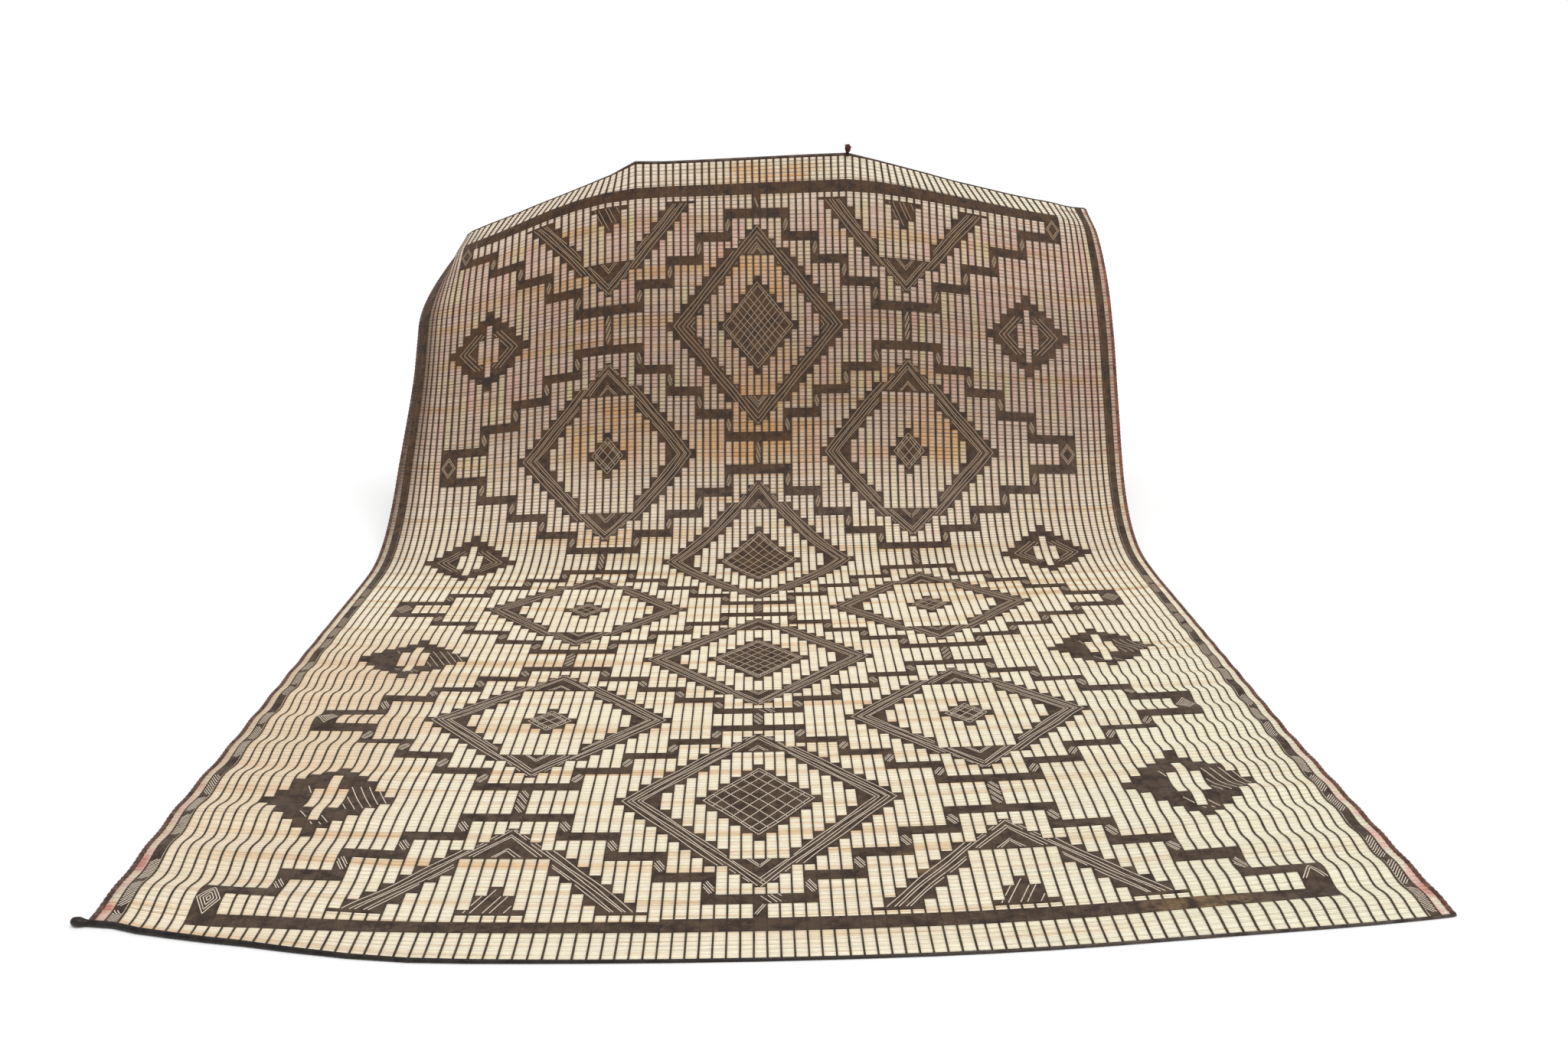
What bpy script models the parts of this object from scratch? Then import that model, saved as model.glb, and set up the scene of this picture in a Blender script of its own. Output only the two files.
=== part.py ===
"""Tuareg reed and leather mat. Its far end is held up by two points of its edge, and its near part lies on the floor.

X runs across the mat along the reeds, Y from the near end to the far end, Z up. The floor is z = 0.
A place on the mat is (column, row): columns are counted from the middle line, rows from the near edge.
"""

import math
from collections import namedtuple

import bmesh
import bpy
import numpy as np

# Sizes, in metres unless the name says otherwise.
ROWS = 240  # rows of leather work from the near edge to the far edge
HALF_COLUMNS = 48.5  # columns of leather work from the middle line to each side
SHEET = 0.005  # the reeds with their laces
GAP = 0.0003  # between pieces
SIDE_BINDING_WIDTH = 0.008
NEAR_ROLL_BEYOND = 0.032  # how far the roll at the near end sticks out past the left side
NEAR_ROLL_KNOB = 0.0100  # and its radius there
NEAR_KNOB_SHARES = (0.6, 1.0, 1.0, 0.8)  # shares of the knob's radius, from the left tip to the mat
NEAR_END_SHARE = 0.6  # share of the radius at the right tip
FAR_ROLL = 0.0055  # radius of the leather roll at the far end
KNOT_WIDTH, KNOT_DEPTH, KNOT_HEIGHT = 0.020, 0.014, 0.036
KNOT_CLEAR, KNOT_RISE = 0.0085, 0.016  # from the roll's front to the knot's middle, and how far that is raised
KNOT_COLUMN = 12.8

# How the mat lies.
NEAR_EDGE = -1.975  # the near edge at the middle line
SIDE_BOW = 0.085  # how far both near corners lie back
STRIP_ROWS = 5  # the plain strip at the near end
STRIP_WOUND = 0.62  # share of that strip wound into the roll at the left corner
REST_ROWS = 136  # the mat lies flat up to this row at the middle line
RISEN_ROWS = 182  # and has its full slope from this one
LEAN = 68.0  # degrees from the floor

# Width of one column, out to so many columns from the middle line.
ColumnZone = namedtuple("ColumnZone", "columns width")
COLUMN_ZONES = (
    ColumnZone(12.5, 0.0264),
    ColumnZone(41.5, 0.0283),
    ColumnZone(60.0, 0.0247),
)

# Length of one row, which changes evenly from each of these rows to the next.
RowZone = namedtuple("RowZone", "row length")
ROW_ZONES = (
    RowZone(0, 0.0197),
    RowZone(30, 0.0188),
    RowZone(60, 0.0167),
    RowZone(90, 0.0163),
    RowZone(120, 0.0166),
    RowZone(148, 0.0181),
    RowZone(176, 0.0173),
    RowZone(200, 0.0165),
    RowZone(220, 0.0176),
    RowZone(ROWS, 0.0176),
)

# The reeds spread a little at the near end and lean to the right as the mat rises.
Spread = namedtuple("Spread", "row widen shift")
SPREADS = (
    Spread(0, 1.018, 0.004),
    Spread(50, 1.0, 0.0),
    Spread(130, 1.0, 0.0),
    Spread(176, 1.01, 0.006),
    Spread(204, 1.012, 0.013),
    Spread(ROWS, 1.006, 0.015),
)

# Towards the near edge the mat is drawn in, and its corners lie further back than the bow.
NearZone = namedtuple("NearZone", "column back drawn_in")
NEAR_ZONES = (
    NearZone(-48.5, 0.041, 0.023),
    NearZone(-46.5, 0.038, 0.028),
    NearZone(-44.5, 0.022, 0.0315),
    NearZone(-42.0, 0.012, 0.036),
    NearZone(-39.0, 0.006, 0.032),
    NearZone(-36.0, 0.007, 0.023),
    NearZone(-30.5, 0.002, 0.016),
    NearZone(-26.5, 0.0, 0.019),
    NearZone(-22.5, 0.0, 0.0175),
    NearZone(-16.5, 0.0, 0.0125),
    NearZone(0.0, 0.0, 0.0),
    NearZone(14.5, 0.0, 0.0125),
    NearZone(22.5, 0.004, 0.0245),
    NearZone(30.5, 0.014, 0.0235),
    NearZone(36.0, 0.018, 0.0125),
    NearZone(42.0, 0.020, 0.010),
    NearZone(46.5, 0.023, 0.0),
    NearZone(48.5, 0.025, 0.0),
)
NEAR_ROWS = 40

# Radius of the leather roll at the near end.
RollZone = namedtuple("RollZone", "column radius")
NEAR_ROLL = (
    RollZone(-48.5, 0.0068),
    RollZone(-34.0, 0.0056),
    RollZone(-20.0, 0.0042),
    RollZone(-12.0, 0.0036),
    RollZone(48.5, 0.0033),
)

# Outside the two held points the mat falls back, by more degrees towards its side, and sags together by a
# share of its length.
Fall = namedtuple("Fall", "start end degrees shorter")
FALLS = (Fall(-14.0, -48.5, 14.0, 0.06), Fall(11.0, 48.5, 10.0, 0.04))

# A crease that runs outwards from one column to another and turns the mat further back over a few rows.
Crease = namedtuple("Crease", "start end start_row end_row degrees rows")
CREASES = (
    Crease(-20.0, -48.5, 228.0, 214.0, -10.0, 8.0),
    Crease(-16.0, -46.0, 236.0, 232.0, -9.0, 5.0),
    Crease(13.0, 46.0, 236.0, 232.0, -20.0, 5.0),
    Crease(41.0, 48.5, 237.0, 229.0, -8.0, 8.0),
)

# Soft ripples along both sides of the part on the floor: they grow from one column to another and die away
# from one row to another.
Ripple = namedtuple("Ripple", "start full fades_from gone first_row pitch degrees")
RIPPLES = (
    Ripple(-24.0, -43.0, 70.0, 125.0, -5.6, 10.5, 16.0),
    Ripple(24.0, 43.0, 70.0, 135.0, 0.0, 7.2, 15.0),
)
RIPPLE_EDGE_COLUMN, RIPPLE_EDGE_SHARE = 44.0, 0.3  # they are lower again at the side itself

# The sides curl back as the mat rises: a round curl from one column to the side, which grows from one row to
# another.
Curl = namedtuple("Curl", "start end start_row end_row degrees")
CURLS = (
    Curl(-34.0, -48.5, 150.0, 204.0, 34.0),
    Curl(-34.0, -48.5, 213.0, 243.0, 54.0),
    Curl(35.0, 48.5, 212.0, 243.0, 34.0),
)
CURL_STEPS = 10

# The far edge is taut between the two held points, and the right one is the higher.
Held = namedtuple("Held", "column rise")
HELD = (Held(-16.5, -0.013), Held(KNOT_COLUMN, 0.014))
HELD_ROWS, HELD_COLUMNS = 16, 8.0  # how far down the mat and out to the sides this is felt

# Outside the held points the last rows fold back and are pulled towards the middle.
FarZone = namedtuple("FarZone", "column rise back pulled_in")
FAR_ZONES = (
    FarZone(-48.5, 0.0, 0.0, 0.0),
    FarZone(-44.5, 0.0, 0.0, 0.014),
    FarZone(-40.5, 0.004, 0.0, 0.028),
    FarZone(-36.5, 0.006, 0.0, 0.044),
    FarZone(-32.5, 0.0, 0.004, 0.047),
    FarZone(-28.5, -0.015, 0.014, 0.042),
    FarZone(-24.5, -0.022, 0.020, 0.033),
    FarZone(-20.5, -0.018, 0.014, 0.018),
    FarZone(-16.5, 0.009, 0.0, 0.0),
    FarZone(-12.5, 0.0, 0.0, 0.0),
    FarZone(12.5, 0.0, 0.0, 0.0),
    FarZone(16.5, -0.009, 0.006, 0.006),
    FarZone(20.5, -0.010, 0.008, 0.018),
    FarZone(26.5, -0.004, 0.004, 0.035),
    FarZone(32.5, 0.0, 0.0, 0.040),
    FarZone(40.5, -0.005, 0.0, 0.030),
    FarZone(48.5, 0.0, 0.0, 0.0),
)
FAR_ROWS = 5.5

# Where the solid is divided.
COLUMN_LINES = (0, 6.5, 12.8, 19, 25, 31, 36, 39.5, 42.5, 45.5, HALF_COLUMNS)
RIPPLED_ROWS, RIPPLED_STEP, PLAIN_STEP = 126, 2.25, 4.75
STEPS_A_ROW = 2  # steps of the walk along a column, in each row

LEATHER_BLACK, LEATHER_BROWN, REED, THREAD = (
    (0.035, 0.026, 0.022, 1),
    (0.10, 0.055, 0.035, 1),
    (0.72, 0.60, 0.42, 1),
    (0.12, 0.03, 0.025, 1),
)


def ease(t):
    t = min(max(t, 0.0), 1.0)
    return t * t * (3 - 2 * t)


def between(table, at, name):
    """The named value of the table at a row or column, its first field, evenly between the entries around it."""
    for low, high in zip(table, table[1:]):
        if at <= high[0]:
            share = max((at - low[0]) / (high[0] - low[0]), 0)
            return getattr(low, name) * (1 - share) + getattr(high, name) * share
    return getattr(table[-1], name)


def across(column):
    """Distance of a column from the middle line."""
    left, start, total = abs(column), 0.0, 0.0
    for zone in COLUMN_ZONES:
        total += max(min(left, zone.columns) - start, 0) * zone.width
        start = zone.columns
    return math.copysign(total, column)


def share_towards(column, start, end):
    return ease((column - start) / (end - start))


def near_edge(column):
    return NEAR_EDGE + SIDE_BOW * (column / HALF_COLUMNS) ** 2


def near_the_edge(column, row, name):
    """How far back, or drawn in, the mat lies there."""
    return between(NEAR_ZONES, column, name) * (1 - ease(row / NEAR_ROWS))


def far_edge(column, row, name):
    """How much higher, further back or further in the mat lies near the far edge."""
    return between(FAR_ZONES, column, name) * max((row - ROWS + FAR_ROWS) / FAR_ROWS, 0)


def held_rise(column, row):
    left, right = HELD
    share = min(max((column - left.column) / (right.column - left.column), 0), 1)
    beyond = max(left.column - column, column - right.column, 0)
    rise = (left.rise * (1 - share) + right.rise * share) * math.exp(-((beyond / HELD_COLUMNS) ** 2))
    return rise * ease((row - ROWS + HELD_ROWS) / HELD_ROWS)


def wound(column):
    """Share of the near strip that is wound into the roll."""
    return STRIP_WOUND * share_towards(column, -22.0, -44.0)


def ripple(column, row):
    edge = ease((abs(column) - RIPPLE_EDGE_COLUMN) / (HALF_COLUMNS - RIPPLE_EDGE_COLUMN))
    total = 0.0
    for r in RIPPLES:
        height = share_towards(column, r.start, r.full) * (1 - ease((row - r.fades_from) / (r.gone - r.fades_from)))
        total += r.degrees * height * math.sin(2 * math.pi * (row - r.first_row) / r.pitch)
    return total * (1 - (1 - RIPPLE_EDGE_SHARE) * edge)


def slope(column, row):
    """Degrees that the mat rises from the floor, along a column."""
    lean = LEAN - sum(f.degrees * share_towards(column, f.start, f.end) for f in FALLS)
    total = lean * ease((row - REST_ROWS) / (RISEN_ROWS - REST_ROWS))
    for c in CREASES:
        out = (column - c.start) / (c.end - c.start)
        if out > 0:
            crease_row = c.start_row + (c.end_row - c.start_row) * min(out, 1.3)
            total += c.degrees * min(2 * out, 1) * ease((row - crease_row) / c.rows + 0.5)
    return total + ripple(column, row)


def walk(column):
    """(y, z) of the middle of the sheet at every step up a column, as an array."""
    strip = STRIP_ROWS * ROW_ZONES[0].length
    sag = sum(f.shorter * share_towards(column, f.start, f.end) for f in FALLS)
    y, z = near_edge(column) + strip * wound(column), 0.0
    places = [(y, z)]
    for step in range(ROWS * STEPS_A_ROW):
        row = (step + 0.5) / STEPS_A_ROW
        length = between(ROW_ZONES, row, "length") / STEPS_A_ROW
        if row < STRIP_ROWS:
            length *= 1 - wound(column)
        if row > REST_ROWS:
            length *= 1 - sag
        angle = math.radians(slope(column, row))
        y, z = y + length * math.cos(angle), max(z + length * math.sin(angle), 0.0)
        places.append((y, z))
    return np.array(places)


def curl_step(column, row, step):
    """How far the mat is turned back in one of the equal steps out to a column, in radians, and that step's width."""
    start = math.copysign(min(abs(c.start) for c in CURLS), column)
    width = (across(column) - across(start)) / CURL_STEPS
    at = start + (column - start) * (step + 0.5) / CURL_STEPS
    degrees = sum(
        c.degrees * share_towards(at, c.start, c.end) * ease((row - c.start_row) / (c.end_row - c.start_row))
        for c in CURLS
    )
    return math.radians(degrees), width if width * column > 0 else 0.0


def place(column, row, steps):
    """The point of the sheet's middle at (column, row)."""
    at = row * STEPS_A_ROW
    y, z = (float(np.interp(at, np.arange(len(steps)), steps[:, i])) for i in (0, 1))
    x, y = across(column), y + near_the_edge(column, row, "back")
    x -= math.copysign(near_the_edge(column, row, "drawn_in"), column)
    for step in range(CURL_STEPS):
        turn, width = curl_step(column, row, step)
        x -= width * (1 - math.cos(turn))
        y += abs(width) * math.sin(turn)
    x -= math.copysign(far_edge(column, row, "pulled_in"), column)
    x = x * between(SPREADS, row, "widen") + between(SPREADS, row, "shift")
    y, z = y + far_edge(column, row, "back"), z + held_rise(column, row) + far_edge(column, row, "rise")
    return np.array((x, y, z + SHEET / 2))


def row_lines():
    rippled = np.arange(0, RIPPLED_ROWS, RIPPLED_STEP)
    plain = np.arange(RIPPLED_ROWS, ROWS - 1, PLAIN_STEP)
    return [*rippled, *plain, ROWS]


def sheet_grid(columns, rows):
    """Points and unit normals of the sheet's middle, as arrays [column][row][xyz]."""
    points = np.array([[place(c, r, steps) for r in rows] for c, steps in ((c, walk(c)) for c in columns)])
    along_x, along_y = np.gradient(points, axis=0), np.gradient(points, axis=1)
    normals = np.cross(along_x, along_y)
    return points, normals / np.linalg.norm(normals, axis=2, keepdims=True)


def unit(vector):
    return vector / np.linalg.norm(vector)


def add_node(name, mesh, colour, roughness):
    """Gives the mesh its object and material, with its normals facing out."""
    mesh.normal_update()
    bmesh.ops.recalc_face_normals(mesh, faces=mesh.faces)
    if mesh.calc_volume(signed=True) < 0:
        bmesh.ops.reverse_faces(mesh, faces=mesh.faces)
    data = bpy.data.meshes.new(name)
    mesh.to_mesh(data)
    mesh.free()
    material = bpy.data.materials.new(name)
    material.use_nodes = True
    shader = material.node_tree.nodes["Principled BSDF"]
    shader.inputs["Base Color"].default_value = colour
    shader.inputs["Roughness"].default_value = roughness
    data.materials.append(material)
    bpy.context.scene.collection.objects.link(bpy.data.objects.new(name, data))


def bridge(mesh, rings, capped=True):
    """Joins each ring of vertices to the next one with quads, and closes both ends."""
    for ring, following in zip(rings, rings[1:]):
        for i in range(len(ring)):
            j = (i + 1) % len(ring)
            mesh.faces.new((ring[i], ring[j], following[j], following[i]))
    if capped:
        mesh.faces.new(rings[0][::-1])
        mesh.faces.new(rings[-1])


def clear_scene():
    for thing in list(bpy.data.objects):
        bpy.data.objects.remove(thing)


def build_mat(columns, rows):
    """The reed sheet with its leather work: one closed body, of even thickness."""
    points, normals = sheet_grid(columns, rows)
    mesh = bmesh.new()
    top, under = (
        [[mesh.verts.new(p) for p in line] for line in points + side * normals * SHEET / 2] for side in (1, -1)
    )
    wide, long = len(columns), len(rows)
    for i in range(wide - 1):
        for j in range(long - 1):
            for side in (top, under):
                mesh.faces.new((side[i][j], side[i + 1][j], side[i + 1][j + 1], side[i][j + 1]))
    for i in range(wide - 1):
        for j in (0, long - 1):
            mesh.faces.new((top[i][j], top[i + 1][j], under[i + 1][j], under[i][j]))
    for j in range(long - 1):
        for i in (0, wide - 1):
            mesh.faces.new((top[i][j], top[i][j + 1], under[i][j + 1], under[i][j]))
    add_node("mat_sheet", mesh, REED, 0.6)


def build_side_binding(name, side, columns, rows):
    """A folded strip of leather along a side edge of the sheet, as thick as the sheet."""
    points, normals = sheet_grid(columns, rows)
    edge, inner = (-1, -2) if side > 0 else (0, 1)
    mesh = bmesh.new()
    rings = []
    for j in range(len(rows)):
        out = unit(points[edge][j] - points[inner][j])
        up = normals[edge][j] * SHEET / 2
        near = points[edge][j] + out * GAP
        far = near + out * SIDE_BINDING_WIDTH
        rings.append([mesh.verts.new(p) for p in (near - up, far - up, far + up, near + up)])
    bridge(mesh, rings)
    add_node(name, mesh, LEATHER_BROWN, 0.5)


def outwards(edge, normals):
    """Directions out of the sheet, square to its edge, lengthened at a bend so that a roll clears both sides."""
    pieces = [unit(b - a) for a, b in zip(edge, edge[1:])]
    found = []
    for before, after, normal in zip([pieces[0], *pieces], [*pieces, pieces[-1]], normals):
        out = unit(np.cross(unit(before + after), normal))
        found.append(out / math.cos(0.5 * math.acos(min(float(np.dot(before, after)), 1.0))))
    return np.array(found)


def build_roll(name, edge, outward, radii, sides, colour):
    """A leather-wrapped roll beside an edge of the sheet: one radius for each of the edge's points."""
    path = edge + outward * (np.array(radii)[:, None] + GAP)
    along = np.gradient(path, axis=0)
    mesh = bmesh.new()
    rings = []
    for centre, ahead, out, radius in zip(path, along, outward, radii):
        first = unit(out - unit(ahead) * np.dot(out, unit(ahead)))
        second = np.cross(unit(ahead), first)
        turns = np.linspace(0, 2 * math.pi, sides, endpoint=False) + math.pi / sides
        rings.append([mesh.verts.new(centre + radius * (math.cos(t) * first + math.sin(t) * second)) for t in turns])
    bridge(mesh, rings)
    add_node(name, mesh, colour, 0.45)


def build_near_roll(columns, rows):
    """The near roll lies on the floor. It ends in a knob past the left corner, and gets thinner towards the right."""
    points, _ = sheet_grid(columns, rows)
    edge = points[:, 0].copy()
    beyond = edge[0] - unit(edge[1] - edge[0]) * np.linspace(NEAR_ROLL_BEYOND, 0.006, len(NEAR_KNOB_SHARES))[:, None]
    last = edge[-1] + unit(edge[-1] - edge[-2]) * 0.006
    edge = np.vstack((beyond, edge, last))
    along = [between(NEAR_ROLL, c, "radius") for c in columns]
    radii = np.array([NEAR_ROLL_KNOB * s for s in NEAR_KNOB_SHARES] + along + [along[-1] * NEAR_END_SHARE])
    edge[:, 2] = radii
    outward = outwards(edge, [(0, 0, 1)] * len(edge))
    build_roll("near_roll", edge, outward, radii, 10, LEATHER_BLACK)


def build_far_roll(columns, rows):
    """The far roll is thinner outside the two held points, where the edge hangs free."""
    points, normals = sheet_grid(columns, rows)
    edge = points[:, -1]
    outward = -outwards(edge, normals[:, -1])
    between_held = np.array([HELD[0].column - 1 < c < HELD[1].column + 1 for c in columns])
    radii = np.where(between_held, FAR_ROLL, FAR_ROLL * 0.7)
    build_roll("far_roll", edge, outward, radii, 8, LEATHER_BROWN)
    return edge, outward, radii


def build_knot(columns, edge, outward, radii):
    """The knot of the loop that holds the mat up, tied in front of the far roll."""
    at = columns.index(KNOT_COLUMN)
    front = unit(np.cross(edge[at + 1] - edge[at - 1], outward[at]))
    in_front = front * (radii[at] + GAP + KNOT_CLEAR)
    centre = edge[at] + outward[at] * (radii[at] + GAP) + in_front + np.array((0, 0, KNOT_RISE))
    mesh = bmesh.new()
    bmesh.ops.create_icosphere(mesh, subdivisions=2, radius=0.5)
    for vert in mesh.verts:
        x, y, z = vert.co
        waist = 1 - 0.25 * math.cos(4 * math.pi * z)
        vert.co = centre + np.array((x * KNOT_WIDTH * waist, y * KNOT_DEPTH * waist, z * KNOT_HEIGHT))
    add_node("hold_knot", mesh, THREAD, 0.7)


clear_scene()
columns = sorted({side * c for c in COLUMN_LINES for side in (-1, 1)})
rows = row_lines()
build_mat(columns, rows)
build_side_binding("side_binding_left", -1, columns, rows)
build_side_binding("side_binding_right", 1, columns, rows)
build_near_roll(columns, rows)
edge, outward, radii = build_far_roll(columns, rows)
build_knot(columns, edge, outward, radii)
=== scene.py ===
import math
from collections import namedtuple

import bpy
import numpy as np
from mathutils import Matrix


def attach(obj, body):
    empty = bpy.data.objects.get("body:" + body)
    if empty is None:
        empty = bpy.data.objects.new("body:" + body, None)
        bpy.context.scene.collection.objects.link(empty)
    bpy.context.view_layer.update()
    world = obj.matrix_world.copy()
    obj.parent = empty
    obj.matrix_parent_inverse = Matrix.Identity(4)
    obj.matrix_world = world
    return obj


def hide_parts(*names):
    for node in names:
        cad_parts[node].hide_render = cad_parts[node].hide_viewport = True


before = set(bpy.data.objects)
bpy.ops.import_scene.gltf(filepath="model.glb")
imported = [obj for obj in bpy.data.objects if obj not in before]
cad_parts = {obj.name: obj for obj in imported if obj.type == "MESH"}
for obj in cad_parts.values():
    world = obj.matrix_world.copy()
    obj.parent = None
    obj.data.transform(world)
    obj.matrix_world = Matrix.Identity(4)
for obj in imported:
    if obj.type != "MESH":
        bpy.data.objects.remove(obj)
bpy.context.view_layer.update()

# --- Reed sheet --------------------------------------------------------------------------------
# Some nine hundred thin reeds lie side by side across the mat, from one side to the other. Two points of the
# far edge hold the mat up, so that it hangs there and runs out over the floor. Cleaned, undyed plant stems.
#
# A place on the mat is (column, row). Columns are the strips between the leather laces, counted from the
# middle line, and rows are courses of leather work, counted from the near edge. Other sizes are in metres.
ROWS, HALF_COLUMNS, SHEET = 240, 48.5, 0.005
REST_ROWS, RISEN_ROWS, LEAN_DEGREES = 136, 182, 68.0
NEAR_EDGE, SIDE_BOW = -1.975, 0.085
STRIP_ROWS, STRIP_WOUND = 5, 0.62
LEFT_HOLD, KNOT_COLUMN = -16.5, 12.8
STRIP_FROM, STRIP_FULL, CREASE_REACH = -22.0, -44.0, 1.3


def table(columns, *rows):
    """Rows of values under named columns."""
    kind = namedtuple("Row", columns)
    return tuple(kind(*row) for row in rows)


COLUMN_ZONES = table("columns width", (12.5, 0.0264), (41.5, 0.0283), (60.0, 0.0247))
ROW_ZONES = table(
    "row length", (0, 0.0197), (30, 0.0188), (60, 0.0167), (90, 0.0163), (120, 0.0166), (148, 0.0181),
    (176, 0.0173), (200, 0.0165), (220, 0.0176), (ROWS, 0.0176),
)
SPREADS = table(
    "row widen shift", (0, 1.018, 0.004), (50, 1.0, 0.0), (130, 1.0, 0.0), (176, 1.01, 0.006),
    (204, 1.012, 0.013), (ROWS, 1.006, 0.015),
)
NEAR_ROWS = 40
NEAR_ZONES = table(
    "column back drawn_in", (-48.5, 0.041, 0.023), (-46.5, 0.038, 0.028), (-44.5, 0.022, 0.0315),
    (-42.0, 0.012, 0.036), (-39.0, 0.006, 0.032), (-36.0, 0.007, 0.023), (-30.5, 0.002, 0.016),
    (-26.5, 0.0, 0.019), (-22.5, 0.0, 0.0175), (-16.5, 0.0, 0.0125), (0.0, 0.0, 0.0), (14.5, 0.0, 0.0125),
    (22.5, 0.004, 0.0245), (30.5, 0.014, 0.0235), (36.0, 0.018, 0.0125), (42.0, 0.020, 0.010),
    (46.5, 0.023, 0.0), (48.5, 0.025, 0.0),
)
FALLS = table("start end degrees shorter", (-14.0, -48.5, 14.0, 0.06), (11.0, 48.5, 10.0, 0.04))
CREASES = table(
    "start end start_row end_row degrees rows", (-20.0, -48.5, 228.0, 214.0, -10.0, 8.0),
    (-16.0, -46.0, 236.0, 232.0, -9.0, 5.0), (13.0, 46.0, 236.0, 232.0, -20.0, 5.0),
    (41.0, 48.5, 237.0, 229.0, -8.0, 8.0),
)
RIPPLES = table(
    "start full fades_from gone first_row pitch degrees", (-24.0, -43.0, 70.0, 125.0, -5.6, 10.5, 16.0),
    (24.0, 43.0, 70.0, 135.0, 0.0, 7.2, 15.0),
)
RIPPLE_EDGE_COLUMN, RIPPLE_EDGE_SHARE = 44.0, 0.3
CURLS = table(
    "start end start_row end_row degrees", (-34.0, -48.5, 150.0, 204.0, 34.0),
    (-34.0, -48.5, 213.0, 243.0, 54.0), (35.0, 48.5, 212.0, 243.0, 34.0),
)
CURL_STEPS, STEPS_A_ROW = 10, 2
HELD, HELD_ROWS, HELD_COLUMNS = table("column rise", (LEFT_HOLD, -0.013), (KNOT_COLUMN, 0.014)), 16, 8.0
FAR_ROWS = 5.5
FAR_ZONES = table(
    "column rise back pulled_in", (-48.5, 0.0, 0.0, 0.0), (-44.5, 0.0, 0.0, 0.014),
    (-40.5, 0.004, 0.0, 0.028), (-36.5, 0.006, 0.0, 0.044), (-32.5, 0.0, 0.004, 0.047),
    (-28.5, -0.015, 0.014, 0.042), (-24.5, -0.022, 0.020, 0.033), (-20.5, -0.018, 0.014, 0.018),
    (-16.5, 0.009, 0.0, 0.0),
    (-12.5, 0.0, 0.0, 0.0), (12.5, 0.0, 0.0, 0.0), (16.5, -0.009, 0.006, 0.006), (20.5, -0.010, 0.008, 0.018),
    (26.5, -0.004, 0.004, 0.035), (32.5, 0.0, 0.0, 0.040), (40.5, -0.005, 0.0, 0.030), (48.5, 0.0, 0.0, 0.0),
)
COLUMN_LINES = (0, 6.5, KNOT_COLUMN, 16.5, 20.5, 24.5, 28.5, 32.5, 36, 39, 42, 44.5, 46.5, HALF_COLUMNS)


def ease(t):
    t = min(max(t, 0.0), 1.0)
    return t * t * (3 - 2 * t)


def between(zones, at, name):
    """The named value of a table at a row or column, its first field, evenly between its entries."""
    for low, high in zip(zones, zones[1:]):
        if at <= high[0]:
            share = max((at - low[0]) / (high[0] - low[0]), 0)
            return getattr(low, name) * (1 - share) + getattr(high, name) * share
    return getattr(zones[-1], name)


def across(column):
    left, start, total = abs(column), 0.0, 0.0
    for zone in COLUMN_ZONES:
        total += max(min(left, zone.columns) - start, 0) * zone.width
        start = zone.columns
    return math.copysign(total, column)


def share_towards(column, start, end):
    return ease((column - start) / (end - start))


def wound(column):
    return STRIP_WOUND * share_towards(column, STRIP_FROM, STRIP_FULL)


def ripple(column, row):
    edge = ease((abs(column) - RIPPLE_EDGE_COLUMN) / (HALF_COLUMNS - RIPPLE_EDGE_COLUMN))
    total = 0.0
    for r in RIPPLES:
        depth = share_towards(column, r.start, r.full)
        depth *= 1 - ease((row - r.fades_from) / (r.gone - r.fades_from))
        total += r.degrees * depth * math.sin(2 * math.pi * (row - r.first_row) / r.pitch)
    return total * (1 - (1 - RIPPLE_EDGE_SHARE) * edge)


def slope(column, row):
    lean = LEAN_DEGREES - sum(f.degrees * share_towards(column, f.start, f.end) for f in FALLS)
    total = lean * ease((row - REST_ROWS) / (RISEN_ROWS - REST_ROWS))
    for c in CREASES:
        out = (column - c.start) / (c.end - c.start)
        if out > 0:
            crease_row = c.start_row + (c.end_row - c.start_row) * min(out, CREASE_REACH)
            total += c.degrees * min(2 * out, 1) * ease((row - crease_row) / c.rows + 0.5)
    return total + ripple(column, row)


def walk(column):
    """Where each half row of a column comes to, as (y, z), starting at the near edge."""
    sag = sum(f.shorter * share_towards(column, f.start, f.end) for f in FALLS)
    bow = SIDE_BOW * (column / HALF_COLUMNS) ** 2
    y, z = NEAR_EDGE + bow + STRIP_ROWS * ROW_ZONES[0].length * wound(column), 0.0
    places = [(y, z)]
    for step in range(ROWS * STEPS_A_ROW):
        row = (step + 0.5) / STEPS_A_ROW
        length = between(ROW_ZONES, row, "length") / STEPS_A_ROW
        length *= (1 - wound(column) if row < STRIP_ROWS else 1) * (1 - sag if row > REST_ROWS else 1)
        angle = math.radians(slope(column, row))
        y, z = y + length * math.cos(angle), max(z + length * math.sin(angle), 0.0)
        places.append((y, z))
    return np.array(places)


def curl_step(column, row, step):
    start = math.copysign(min(abs(c.start) for c in CURLS), column)
    width = (across(column) - across(start)) / CURL_STEPS
    at = start + (column - start) * (step + 0.5) / CURL_STEPS
    degrees = sum(
        c.degrees * share_towards(at, c.start, c.end) * ease((row - c.start_row) / (c.end_row - c.start_row))
        for c in CURLS
    )
    return math.radians(degrees), width if width * column > 0 else 0.0


def held_rise(column, row):
    left, right = HELD
    share = min(max((column - left.column) / (right.column - left.column), 0), 1)
    outside = max(left.column - column, column - right.column, 0)
    rise = (left.rise * (1 - share) + right.rise * share) * math.exp(-((outside / HELD_COLUMNS) ** 2))
    return rise * ease((row - ROWS + HELD_ROWS) / HELD_ROWS)


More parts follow.
